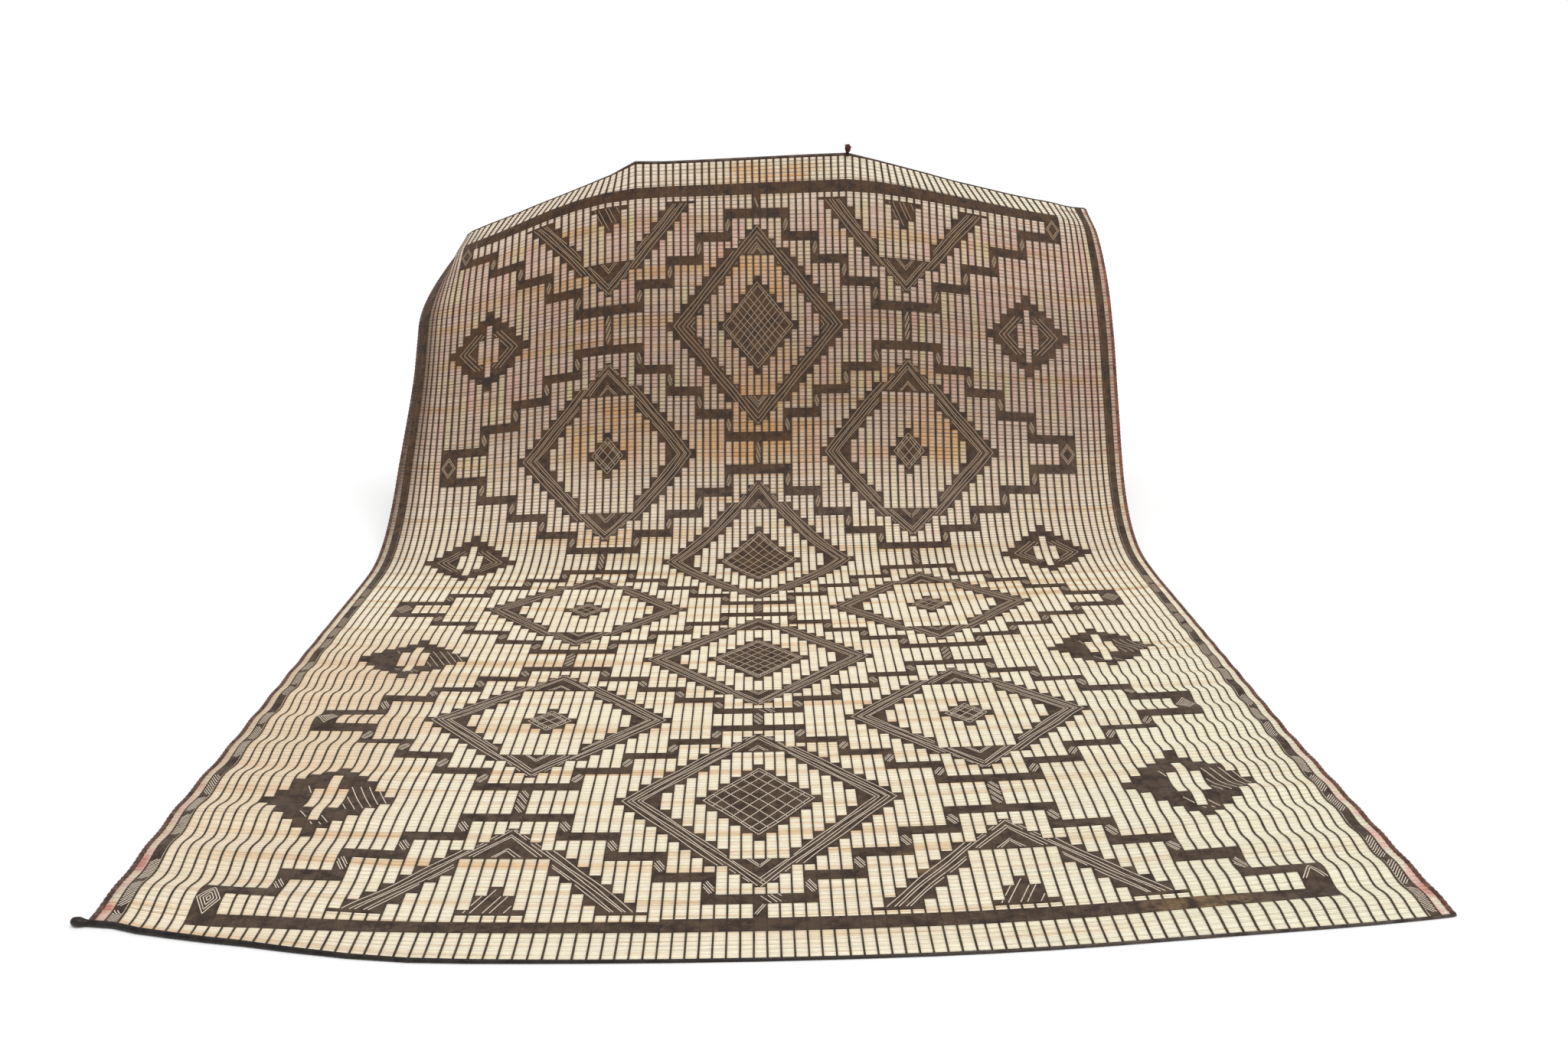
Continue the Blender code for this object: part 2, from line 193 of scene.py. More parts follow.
def place(column, row, steps):
    """The point of the sheet's middle at (column, row)."""
    y, z = (float(np.interp(row * STEPS_A_ROW, np.arange(len(steps)), steps[:, i])) for i in (0, 1))
    near, far = 1 - ease(row / NEAR_ROWS), max((row - ROWS + FAR_ROWS) / FAR_ROWS, 0)
    inward = near * between(NEAR_ZONES, column, "drawn_in") + far * between(FAR_ZONES, column, "pulled_in")
    x = across(column) - math.copysign(inward, column)
    y += near * between(NEAR_ZONES, column, "back") + far * between(FAR_ZONES, column, "back")
    z += held_rise(column, row) + far * between(FAR_ZONES, column, "rise")
    for step in range(CURL_STEPS):
        turn, width = curl_step(column, row, step)
        x -= width * (1 - math.cos(turn))
        y += abs(width) * math.sin(turn)
    x = x * between(SPREADS, row, "widen") + between(SPREADS, row, "shift")
    return np.array((x, y, z + SHEET / 2))


def unit(vector):
    return vector / np.linalg.norm(vector, axis=-1, keepdims=True)


column_lines = sorted({side * c for c in COLUMN_LINES for side in (-1, 1)})
column_walks = [walk(c) for c in column_lines]
middle = np.array([
    [place(c, r, steps) for r in range(ROWS + 1)] for c, steps in zip(column_lines, column_walks)
])
outward = unit(np.cross(np.gradient(middle, axis=0), np.gradient(middle, axis=1)))


def grid_faces(wide, long, start=0):
    """Quads between the points of a grid, which face up where columns and rows both grow."""
    corner = (np.arange(wide - 1)[:, None] * long + np.arange(long - 1)[None] + start).ravel()
    return np.stack((corner, corner + long, corner + long + 1, corner + 1), axis=1)


def mesh_from(name, points, faces, edges=()):
    mesh = bpy.data.meshes.new(name)
    faces = faces.tolist() if isinstance(faces, np.ndarray) else faces
    mesh.from_pydata(np.asarray(points, float).tolist(), np.asarray(edges).tolist(), faces)
    return mesh


def add_object(name, mesh):
    made = bpy.data.objects.new(name, mesh)
    bpy.context.scene.collection.objects.link(made)
    return made


# The lie of the mat as a bare surface, one cell larger than the mat all round, for the flat pieces to be laid
# on. It knows the flat place of each of its points, scaled into a unit square, and the way out of the sheet.
FLAT_SIZE = np.array((120.0, 260.0))
FLAT_START = np.array((-60.0, -10.0))


def widened(grid):
    """The grid with one more line on every side, in line with the last two."""
    for axis in (0, 1):
        grid = np.moveaxis(grid, axis, 0)
        grid = np.concatenate(([2 * grid[0] - grid[1]], grid, [2 * grid[-1] - grid[-2]]))
        grid = np.moveaxis(grid, 0, axis)
    return grid


flat_places = np.stack(np.meshgrid(column_lines, range(ROWS + 1), indexing="ij"), axis=2).astype(float)
flat_places = widened(flat_places)
lie = add_object("lie", mesh_from("lie", widened(middle).reshape(-1, 3), grid_faces(*flat_places.shape[:2])))
for name, values in (("flat", (flat_places - FLAT_START) / FLAT_SIZE), ("outward", widened(outward))):
    values = values.reshape(len(lie.data.vertices), -1)
    values = np.pad(values, ((0, 0), (0, 3 - values.shape[1])))
    lie.data.attributes.new(name, "FLOAT_VECTOR", "POINT").data.foreach_set("vector", values.ravel())


def new_tree(name, inputs, outputs, kind="GeometryNodeTree"):
    """An empty node group with the named inputs and outputs, each given its socket type."""
    tree = bpy.data.node_groups.new(name, kind)
    for in_out, sockets in (("INPUT", inputs), ("OUTPUT", outputs)):
        for socket, socket_type in sockets.items():
            tree.interface.new_socket(socket, in_out=in_out, socket_type="NodeSocket" + socket_type)
    return tree, tree.nodes.new("NodeGroupInput").outputs, tree.nodes.new("NodeGroupOutput").inputs


def node(tree, kind, *values, **settings):
    """A new node. Its inputs take values in order, or by name from a dict: outputs to link, or numbers."""
    made = tree.nodes.new(kind)
    for name, value in settings.items():
        setattr(made, name, value)
    named = values[-1] if values and isinstance(values[-1], dict) else {}
    for key, value in [*enumerate(values[: len(values) - bool(named)]), *named.items()]:
        if isinstance(value, bpy.types.NodeSocket):
            tree.links.new(value, made.inputs[key])
        else:
            made.inputs[key].default_value = value
    return made


def math_node(tree, operation, *values):
    return node(tree, "ShaderNodeMath", *values, operation=operation).outputs[0]


def plus(tree, first, second):
    return math_node(tree, "ADD", first, second)


def minus(tree, first, second):
    return math_node(tree, "SUBTRACT", first, second)


def times(tree, first, second):
    return math_node(tree, "MULTIPLY", first, second)


def vector_node(tree, operation, *values):
    return node(tree, "ShaderNodeVectorMath", *values, operation=operation).outputs[0]


def vector(tree, *values):
    return node(tree, "ShaderNodeCombineXYZ", *values).outputs[0]


def split(tree, place):
    return node(tree, "ShaderNodeSeparateXYZ", place).outputs


def position(tree):
    return node(tree, "GeometryNodeInputPosition").outputs[0]


# Lays flat geometry on the mat: x is its column, y its row and z its height above the middle of the sheet.
TO_LAY, LAID = {"Geometry": "Geometry", "Lie": "Object", "Material": "Material"}, {"Geometry": "Geometry"}
lay, lay_in, lay_out = new_tree("lay on the mat", TO_LAY, LAID)
lie_surface = node(lay, "GeometryNodeObjectInfo", {"Object": lay_in["Lie"]}).outputs["Geometry"]
flat = position(lay)
flat_share = vector_node(lay, "MULTIPLY_ADD", flat, (*1 / FLAT_SIZE, 0), (*-FLAT_START / FLAT_SIZE, 0))
surface_share, surface_out = (
    node(lay, "GeometryNodeInputNamedAttribute", name, data_type="FLOAT_VECTOR").outputs[0]
    for name in ("flat", "outward")
)


def sampled(value):
    """A value of the lie of the mat, at the flat place of each point."""
    return node(
        lay, "GeometryNodeSampleUVSurface", lie_surface, value, surface_share, flat_share,
        data_type="FLOAT_VECTOR",
    ).outputs[0]


lifted = vector_node(lay, "SCALE", sampled(surface_out), {"Scale": split(lay, flat)["Z"]})
single = node(lay, "GeometryNodeRealizeInstances", lay_in["Geometry"]).outputs[0]
placed = node(
    lay, "GeometryNodeStoreNamedAttribute", {"Geometry": single, "Name": "place", "Value": flat},
    data_type="FLOAT2", domain="CORNER",
).outputs[0]
laid_place = vector_node(lay, "ADD", sampled(position(lay)), lifted)
laid = node(lay, "GeometryNodeSetPosition", {"Geometry": placed, "Position": laid_place}).outputs[0]
finished = node(lay, "GeometryNodeSetMaterial", {"Geometry": laid, "Material": lay_in["Material"]}).outputs[0]
lay.links.new(finished, lay_out[0])


def run_tree(name, mesh, tree, **values):
    """Runs the node tree on the mesh, and returns the result as a plain mesh object at the origin."""
    start = add_object(name + "_start", mesh)
    modifier = start.modifiers.new("tree", "NODES")
    modifier.node_group = tree
    for item in tree.interface.items_tree:
        key = item.name.replace(" ", "_")
        if item.in_out == "INPUT" and key in values:
            modifier[item.identifier] = values[key]
    graph = bpy.context.evaluated_depsgraph_get()
    made = bpy.data.meshes.new_from_object(start.evaluated_get(graph), depsgraph=graph)
    made.name = name
    start.modifiers.remove(modifier)
    bpy.data.objects.remove(start)
    return add_object(name, made)


REEDS_A_ROW = 3.75
REED_GROOVE, REED_UNEVEN = 0.0012, 0.0004
reed_lines = round(ROWS * REEDS_A_ROW) * 2 + 1
random = np.random.default_rng(11)


def reed_mesh():
    """A closed flat slab with a ridge for each reed on both faces, a little uneven from reed to reed."""
    columns, rows = np.array(column_lines), np.linspace(0, ROWS, reed_lines)
    ridge = SHEET / 2 - random.random(reed_lines) * REED_UNEVEN
    ridge -= REED_GROOVE * (np.arange(reed_lines) % 2 == 0)
    x, y = np.meshgrid(columns, rows, indexing="ij")
    wide, long, half = len(columns), len(rows), len(columns) * len(rows)
    z = np.broadcast_to(ridge, x.shape)
    points = [np.stack((x, y, side * z), axis=2).reshape(-1, 3) for side in (1, -1)]
    rim = np.concatenate((
        np.arange(wide) * long, (wide - 1) * long + np.arange(1, long),
        np.arange(wide - 2, -1, -1) * long + long - 1, np.arange(long - 2, 0, -1),
    ))
    onward = np.roll(rim, -1)
    walls = np.stack((rim + half, onward + half, onward, rim), axis=1)
    faces = np.concatenate((grid_faces(wide, long), grid_faces(wide, long, half)[:, ::-1], walls))
    return mesh_from("reeds", np.concatenate(points), faces)


def new_material(name, roughness):
    material = bpy.data.materials.new(name)
    material.use_nodes = True
    shader = material.node_tree.nodes["Principled BSDF"]
    shader.inputs["Roughness"].default_value = roughness
    shader.inputs["Specular IOR Level"].default_value = 0.25
    return material, material.node_tree, shader


def add_relief(tree, shader, height, strength, depth):
    bump = node(tree, "ShaderNodeBump", {"Strength": strength, "Distance": depth, "Height": height})
    tree.links.new(bump.outputs[0], shader.inputs["Normal"])


def mix(tree, share, first, second, blend="MIX"):
    made = node(tree, "ShaderNodeMix", {0: share}, data_type="RGBA", blend_type=blend)
    for socket, value in ((made.inputs[6], first), (made.inputs[7], second)):
        if isinstance(value, bpy.types.NodeSocket):
            tree.links.new(value, socket)
        else:
            socket.default_value = value
    return made.outputs[2]


def stretch(tree, value, low, high, to_low=0.0, to_high=1.0, smooth=True):
    """The value, taken from low..high to to_low..to_high and held there."""
    kind = "SMOOTHSTEP" if smooth else "LINEAR"
    return node(
        tree, "ShaderNodeMapRange", value, low, high, to_low, to_high, interpolation_type=kind
    ).outputs[0]


def noise(tree, where, scale, detail=2.0, roughness=0.5):
    values = {"Vector": where, "Scale": scale, "Detail": detail, "Roughness": roughness}
    return node(tree, "ShaderNodeTexNoise", values).outputs["Fac"]


def rgb(red, green, blue):
    """A colour given as it is seen, from 0 to 255, as the shader's own light values."""
    shares = (red / 255, green / 255, blue / 255)
    return (*(s / 12.92 if s <= 0.04045 else ((s + 0.055) / 1.055) ** 2.4 for s in shares), 1.0)


# Stems laid side by side: each has its own tone, which changes slowly along it, and fine streaks.
STEM_VALUES = ("Tone", "Band", "Streak", "Mottle", "Gap", "Dark", "Run", "From lace", "Column", "Row")
stems, stems_in, stems_out = new_tree(
    "stems", {"Place": "Vector", "Stems a row": "Float"}, dict.fromkeys(STEM_VALUES, "Float"),
    "ShaderNodeTree",
)
stem_place = split(stems, stems_in["Place"])
stem_run = times(stems, stem_place["Y"], stems_in["Stems a row"])
stem_number = math_node(stems, "FLOOR", stem_run)


def along_stem(per_column, per_stem, detail):
    x, y = times(stems, stem_place["X"], per_column), times(stems, stem_number, per_stem)
    return noise(stems, vector(stems, x, y), 1.0, detail)


def from_middle(tree, value):
    """How far a value is from the middle of its whole step, 0 to 0.5."""
    return math_node(tree, "ABSOLUTE", minus(tree, math_node(tree, "FRACT", value), 0.5))


# Masks for painted shade: the gaps between stems, and every third stem, its darkness changing along it.
open_gap = stretch(stems, along_stem(0.11, 3.77, 2.0), 0.35, 0.7, 0.35, 1.0)
third = math_node(stems, "LESS_THAN", math_node(stems, "MODULO", stem_number, 3.0), 0.5)
from_first = plus(stems, stem_place["X"], 0.5)
run_x, run_y = times(stems, math_node(stems, "FLOOR", from_first), 3.7), times(stems, stem_place["Y"], 0.06)
for output, value in (
    ("Tone", along_stem(0.07, 7.31, 1.0)),
    ("Band", along_stem(0.02, 0.093, 3.0)),
    ("Streak", along_stem(2.3, 5.17, 2.0)),
    ("Mottle", along_stem(0.31, 1.93, 2.0)),
    ("Gap", times(stems, stretch(stems, from_middle(stems, stem_run), 0.26, 0.5), open_gap)),
    ("Dark", times(stems, third, stretch(stems, along_stem(0.05, 2.9, 2.0), 0.3, 0.62, 0.35, 1.0))),
    ("Run", noise(stems, vector(stems, run_x, run_y), 1.0, 2.0)),
    ("From lace", minus(stems, 0.5, from_middle(stems, from_first))),
    ("Column", stem_place["X"]),
    ("Row", stem_place["Y"]),
):
    stems.links.new(value, stems_out[output])


def patch(tree, column, row, oval):
    """1 in the middle of an oval part of the mat, fading to 0 at its rim."""
    squares = []
    for value, centre, reach in ((column, oval.column, oval.columns), (row, oval.row, oval.rows)):
        away = math_node(tree, "DIVIDE", minus(tree, value, centre), reach)
        squares.append(times(tree, away, away))
    return stretch(tree, math_node(tree, "SQRT", plus(tree, *squares)), 1.0, 0.3)


def layered(tree, colour, *layers):
    """The colour with each layer over it in turn: how much of it shows, and its own colour."""
    for share, over in layers:
        colour = mix(tree, share, colour, over)
    return colour


# The reeds on the floor are creamy, with peach and light brown ones among them. Those that hang are duller
# and darker, partly in their own colour and partly as painted shade.
CREAM, PEACH, TAN, BLUSH = rgb(255, 244, 216), rgb(234, 198, 156), rgb(222, 186, 144), rgb(254, 238, 222)
MAUVE, AMBER, BROWN = rgb(224, 194, 176), rgb(216, 174, 132), rgb(190, 148, 120)
STRAW, ROSE, WHEAT = rgb(222, 206, 158), rgb(220, 172, 158), rgb(236, 208, 170)
FAR_LEFT_PAINTED_LIGHT, FAR_RIGHT_PAINTED_LIGHT = rgb(255, 238, 214), rgb(252, 242, 216)
GREENISH, LEFT_DULL, ORANGE, SHADED = rgb(249, 244, 216), rgb(236, 208, 176), rgb(224, 168, 104), rgb(110, 90, 76)
GREEN_STEM, RED_STEM = rgb(182, 186, 150), rgb(206, 142, 122)
PINK, RED_STAIN = rgb(246, 204, 190), rgb(216, 112, 100)
# Where along the columns or rows each of their changes starts, and where it is whole.
HUNG_ROWS, DEEPER_ROWS, FAR_END_ROWS = (128.0, 200.0), (110.0, 180.0), (226.0, 238.0)
FAR_END_COLUMNS, GREENISH_COLUMNS, GREENISH_ROWS = (-30.0, 34.0), (6.0, 40.0), (130.0, 60.0)
LEFT_DULL_COLUMNS, LEFT_DULL_ROWS, LEFT_DULL_BEFORE = (-27.0, -38.0), (0.0, 50.0), (120.0, 90.0)
RIM_COLUMNS, PINK_ROWS, SHADED_COLUMNS = (47.4, 47.6), (60.0, 20.0), (-43.0, -48.0)
RIGHT_COLUMNS, HOLLOW_ROWS, HOLLOW_BEFORE, HOLLOW_SHADE = (-6.0, 44.0), (168.0, 188.0), (224.0, 206.0), 0.14
OVAL_FIELDS = "column row columns rows"
ORANGE_PATCHES = table(
    OVAL_FIELDS, (0.0, 192.0, 10.0, 12.0), (-1.0, 214.0, 9.0, 11.0), (0.0, 178.0, 14.0, 9.0),
    (24.0, 180.0, 7.0, 10.0), (-20.0, 180.0, 9.0, 13.0), (0.0, 236.0, 17.0, 6.0),
)
STAINS = table(OVAL_FIELDS, (-48.0, 6.0, 0.6, 1.4), (-48.0, 16.5, 0.5, 3.0), (48.0, 5.0, 0.7, 2.4))


def reeds_material():
    material, tree, shader = new_material("reeds", 0.62)
    stem = node(tree, "ShaderNodeGroup", node_tree=stems)
    tree.links.new(node(tree, "ShaderNodeUVMap", uv_map="place").outputs[0], stem.inputs["Place"])
    stem.inputs["Stems a row"].default_value = REEDS_A_ROW
    tone, band, streak, mottle, gap_shade, dark, run, from_lace, column, row = stem.outputs
    hung = stretch(tree, row, *HUNG_ROWS)
    warm, odd = stretch(tree, band, 0.48, 0.7), stretch(tree, tone, 0.54, 0.78)
    dull = stretch(tree, mottle, 0.5, 0.75)
    on_floor = layered(tree, CREAM, (warm, PEACH), (odd, TAN), (times(tree, dull, 0.6), BLUSH))
    # The hanging reeds' darker palette is partly their own colour and partly painted shade for the hanging
    # part.
    hanging = layered(
        tree, MAUVE, (warm, AMBER), (odd, BROWN), (stretch(tree, run, 0.52, 0.66, 0.0, 0.6), STRAW),
        (stretch(tree, run, 0.46, 0.34, 0.0, 0.6), ROSE), (times(tree, dull, 0.7), WHEAT),
    )
    # Painted light: the far end is given a paler cream than the hanging part, to lift its bent-back top out
    # of the shade it lies in.
    far_end_painted_light = mix(tree, stretch(tree, column, *FAR_END_COLUMNS), FAR_LEFT_PAINTED_LIGHT, FAR_RIGHT_PAINTED_LIGHT)
    greenish = stretch(tree, row, *GREENISH_ROWS, 0.0, 0.6)
    greenish = times(tree, stretch(tree, column, *GREENISH_COLUMNS), greenish)
    # Towards the left of the part on the floor the reeds are duller and darker.
    side_tone = times(tree, stretch(tree, row, *LEFT_DULL_ROWS, 0.2, 0.72), stretch(tree, row, *LEFT_DULL_BEFORE))
    side_tone = times(tree, stretch(tree, column, *LEFT_DULL_COLUMNS), side_tone)
    colour = layered(
        tree, on_floor, (hung, hanging), (stretch(tree, row, *FAR_END_ROWS), far_end_painted_light), (greenish, GREENISH),
        (side_tone, LEFT_DULL),
    )
    where = vector(tree, column, times(tree, row, 0.4))
    cloud = stretch(tree, noise(tree, where, 0.3, 3.0), 0.38, 0.6, 0.15, 0.85)
    cloud = times(tree, cloud, stretch(tree, tone, 0.3, 0.6, 0.35, 1.0))
    for oval in ORANGE_PATCHES:
        colour = mix(tree, times(tree, patch(tree, column, row, oval), cloud), colour, ORANGE)
    # Stems of other plants give the hanging part, and its right side most, faint green and red ones.
    right = times(tree, hung, stretch(tree, column, *RIGHT_COLUMNS, 0.25, 0.8))
    shaded = times(tree, stretch(tree, column, *SHADED_COLUMNS), hung)
    pink = times(tree, stretch(tree, noise(tree, where, 0.5, 2.0), 0.4, 0.6), stretch(tree, row, *PINK_ROWS))
    pink = times(tree, stretch(tree, math_node(tree, "ABSOLUTE", column), *RIM_COLUMNS), pink)
    colour = layered(
        tree, colour, (times(tree, right, stretch(tree, mottle, 0.36, 0.24)), GREEN_STEM),
        (times(tree, right, stretch(tree, tone, 0.4, 0.28)), RED_STEM), (shaded, SHADED), (pink, PINK),
    )
    faint = stretch(tree, tone, 0.2, 0.7, 0.3, 0.8)
    for oval in STAINS:
        colour = mix(tree, times(tree, patch(tree, column, row, oval), faint), colour, RED_STAIN)
    # Painted shade: the gaps between stems, every third stem and the reeds beside a lace, where they dip
    # under it, are darkened, and most where they hang.
    light = times(
        tree, stretch(tree, streak, 0.25, 0.75, 0.9, 1.05, False), stretch(tree, tone, 0.2, 0.8, 0.93, 1.05)
    )
    for share, floor_depth, hung_depth in (
        (gap_shade, 0.58, 0.75), (dark, 0.2, 0.5), (stretch(tree, from_lace, 0.32, 0.08), 0.1, 0.34)
    ):
        depth = times(tree, share, stretch(tree, row, *DEEPER_ROWS, floor_depth, hung_depth))
        light = times(tree, light, minus(tree, 1.0, depth))
    # Painted shade: a darker band across the hanging part, from about row 168 to row 224.
    hollow_shade = times(tree, stretch(tree, row, *HOLLOW_ROWS), stretch(tree, row, *HOLLOW_BEFORE))
    light = minus(tree, light, times(tree, hollow_shade, HOLLOW_SHADE))
    grey = node(tree, "ShaderNodeCombineColor", light, light, light).outputs[0]
    tree.links.new(mix(tree, 1.0, colour, grey, "MULTIPLY"), shader.inputs["Base Color"])
    add_relief(tree, shader, streak, 0.35, 0.0006)
    tree.links.new(stretch(tree, tone, 0.3, 0.7, 0.55, 0.75), shader.inputs["Roughness"])
    return material


reeds = run_tree("reed_sheet", reed_mesh(), lay, Lie=lie, Material=reeds_material())
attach(reeds, "root")
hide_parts("mat_sheet")

# --- Laces -------------------------------------------------------------------------------------
# Ninety-six narrow leather laces run the length of the mat. Each goes over and under the reeds and binds
# them to their neighbours, a thumb's width apart. Cut by hand, so they wander a little.
LACE_SIDE, LACE_WIDE, LACE_BROADER_FOR_SHADE, LACE_HIGH = 47.5, 0.15, 1.6, 0.0064
LACE_WANDER, LACE_WAVE = 0.11, (1.7, 0.09, 0)
CHANGING_ROWS = (120, 180)

lacing, lacing_in, lacing_out = new_tree(
    "laces", {**TO_LAY, "Laces": "Int", "First column": "Float", "Wander": "Float"}, LAID
)
starts = {"Count": lacing_in["Laces"], "Start Location": vector(lacing, lacing_in["First column"])}
starts = node(lacing, "GeometryNodeMeshLine", {**starts, "Offset": (1, 0, 0)}).outputs[0]
lace_x, lace_row, lace_z = split(lacing, position(lacing))
# Where the mat hangs the laces are made broader: the extra dark width stands in for the shade beside them.
broader = times(lacing, lace_x, stretch(lacing, lace_row, *CHANGING_ROWS, 1.0, LACE_BROADER_FOR_SHADE))
one_lace = {"Geometry": lacing_in["Geometry"], "Position": vector(lacing, broader, lace_row, lace_z)}
one_lace = node(lacing, "GeometryNodeSetPosition", one_lace).outputs[0]
each = node(lacing, "GeometryNodeInstanceOnPoints", {"Points": starts, "Instance": one_lace}).outputs[0]
each = node(lacing, "GeometryNodeRealizeInstances", each).outputs[0]
wander_at = vector_node(lacing, "MULTIPLY", position(lacing), LACE_WAVE)
sideways = minus(lacing, noise(lacing, wander_at, 1.0, 3.0), 0.5)
sideways = vector(lacing, times(lacing, sideways, lacing_in["Wander"]))
each = node(lacing, "GeometryNodeSetPosition", {"Geometry": each, "Offset": sideways}).outputs[0]


def lay_down(tree, geometry, tree_in, tree_out):
    """Ends a tree by laying its flat geometry on the mat."""
    laid_piece = node(tree, "GeometryNodeGroup", node_tree=lay)
    for socket, value in (("Geometry", geometry), ("Lie", tree_in["Lie"]), ("Material", tree_in["Material"])):
        tree.links.new(value, laid_piece.inputs[socket])
    tree.links.new(laid_piece.outputs[0], tree_out[0])


lay_down(lacing, each, lacing_in, lacing_out)


def sweep_faces(rings, sides):
    """Faces of a closed rod, whose rings of points turn clockwise as seen along it. Its two ends are flat."""
    faces = []
    for start in range(0, (rings - 1) * sides, sides):
        for i, j in zip(range(sides), (*range(1, sides), 0)):
            faces.append([start + i, start + sides + i, start + sides + j, start + j])
    last = (rings - 1) * sides
    return [*faces, list(range(sides)), [last + i for i in reversed(range(sides))]]


def strip_mesh(name, section, rows):
    """A closed strip of the section given as points (column, height), with a ring of them at each row."""
    points = [(x, row, z) for row in rows for x, z in section]
    return mesh_from(name, points, sweep_faces(len(rows), len(section)))


# Leather as the mat's leather all looks: pebbled grain, uneven dye, and pale rubbed places.
hide, hide_in, hide_out = new_tree(
    "hide", {"Where": "Vector", "Grain": "Float"}, dict.fromkeys(("Dye", "Rub", "Height"), "Float"),
    "ShaderNodeTree",
)
pebbles = node(hide, "ShaderNodeTexVoronoi", {"Vector": hide_in["Where"], "Scale": hide_in["Grain"]})
for output, value in (
    ("Dye", stretch(hide, noise(hide, hide_in["Where"], 24.0, 5.0, 0.7), 0.4, 0.64)),
    ("Rub", stretch(hide, noise(hide, hide_in["Where"], 70.0, 4.0, 0.7), 0.5, 0.75, 0.0, 0.7)),
    ("Height", pebbles.outputs[0]),
):
    hide.links.new(value, hide_out[output])


def place_on_mat(tree):
    uv = node(tree, "ShaderNodeUVMap", uv_map="place").outputs[0]
    return split(tree, uv)[:2]


def hide_finish(tree, grain):
    finish = node(tree, "ShaderNodeGroup", node_tree=hide)
    finish.inputs["Grain"].default_value = grain
    tree.links.new(node(tree, "ShaderNodeTexCoord").outputs["Object"], finish.inputs["Where"])
    return finish.outputs


HideColours = namedtuple("HideColours", "floor hung dark rubbed")
HIDE_GRAIN, HIDE_ROWS, FADED = 260.0, (125.0, 195.0), rgb(122, 98, 66)
SEAM_DARK, SEAM_REACH, SEAM_DEEP, REED_WAVE = rgb(38, 28, 22), (0.36, 0.48), 0.8, 0.25


def hide_material(name, colours, roughness, seam=None, faded=()):
    """Tanned leather: grain, rubbed high places and uneven dye, with seams if it is wound side by side."""
    material, tree, shader = new_material(name, roughness)
    column, row = place_on_mat(tree)
    dye, rub, height = hide_finish(tree, HIDE_GRAIN)
    colour = mix(tree, stretch(tree, row, *HIDE_ROWS), colours.floor, colours.hung)
    colour = layered(tree, colour, *((patch(tree, column, row, oval), FADED) for oval in faded))
    colour = layered(tree, colour, (dye, colours.dark), (rub, colours.rubbed))
    if seam:
        groove = stretch(tree, from_middle(tree, plus(tree, column, 0.5)), *SEAM_REACH)
        colour = mix(tree, times(tree, groove, seam), colour, SEAM_DARK)
        wave = math_node(tree, "SINE", times(tree, row, 2 * math.pi * REEDS_A_ROW))
        height = minus(tree, height, times(tree, groove, SEAM_DEEP))
        height = plus(tree, height, times(tree, wave, REED_WAVE))
    tree.links.new(colour, shader.inputs["Base Color"])
    rough = stretch(tree, dye, 0.0, 1.0, roughness - 0.08, roughness + 0.1, False)
    tree.links.new(rough, shader.inputs["Roughness"])
    add_relief(tree, shader, height, 0.5, 0.0008)
    return material


LACE_COLOURS = HideColours(rgb(72, 60, 40), rgb(80, 54, 30), rgb(48, 38, 28), rgb(96, 78, 56))
lace_section = [(x * LACE_WIDE / 2, z * LACE_HIGH / 2) for x, z in ((-1, -1), (1, -1), (1, 1), (-1, 1))]
laces = run_tree(
    "laces", strip_mesh("lace", lace_section, range(ROWS + 1)), lacing, Lie=lie,
    Laces=round(2 * LACE_SIDE + 1), First_column=-LACE_SIDE, Wander=LACE_WANDER,
    Material=hide_material("lace leather", LACE_COLOURS, 0.6),
)
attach(laces, "root")

# --- Leather work ------------------------------------------------------------------------------
# Wider leather thongs are wound round the reeds side by side, so that they close up into a dark figure with
# stepped sides: four large diamonds down the middle, three pairs beside them and halves at the ends.
LEATHER_HIGH = 0.0070
Motif = namedtuple("Motif", "outer inner centre")
LARGE = Motif(
    (22, 21, 19, 17, 17, 15, 13, 11, 9, 7, 5, 3, 1), (15.5, 15.5, 15.5, 13, 11, 9, 7, 5, 2.5),
    (11, 9, 7, 5, 3, 1),
)
PAIRED = Motif((20.5, 19, 17, 15, 15, 13, 11, 9, 7, 5, 3, 1), (13, 13, 13, 13, 9, 7.5, 5, 2.5), (5, 3, 1))
HALVED = Motif(PAIRED.outer, PAIRED.inner, (6.3, 4.4, 1.75))
SMALL = Motif((10, 8, 6.5, 5, 2.7, 1), (6.3, 3), ())
LARGE_ROWS, PAIRED_ROWS, HALVED_ROWS = (36, 92, 148, 204), (64, 120, 176), (8, 232)
PAIRED_COLUMN, SMALL_COLUMN, BAND_COLUMN, OUTER_COLUMN = 20, 36, 47, 48
END_BAND, NARROW_END_BAND, END_BAND_COLUMN, NARROW_UP_TO = (5.0, 7.5), (5.0, 7.0), 41, -8
BASE_ROWS = (8.5, ROWS - 8.5)
BARS = table(
    "away start end", (4.5, 16, 24), (9.5, 12, 16), (9.5, 24, 28), (14.5, 8, 12), (14.5, 28, 32),
    (19.5, 4, 8), (19.5, 32, 36), (24.5, 0, 4), (24.5, 36, 41),
)
BAR_HALF, BLOCK_COLUMNS = 1.0, (40, 41)
BLOCKS = [(row - 3.5, row + 3.5) for row in PAIRED_ROWS] + [(7.0, 11.5), (228.5, 233.0)]
RISERS = ((16, 4.5), (24, 4.5), (12, 9.5), (28, 9.5), (8, 14.5), (32, 14.5), (4, 19.5), (36, 19.5))
RISER_TALL, PAIRED_TIE = 5, 4.5
Tie = namedtuple("Tie", "column low high")
TIES = [
    Tie(side * column, *sorted((row + way * away, row + way * (away + RISER_TALL))))
    for column, away in RISERS for side in (-1, 1) for row in LARGE_ROWS for way in (-1, 1)
]
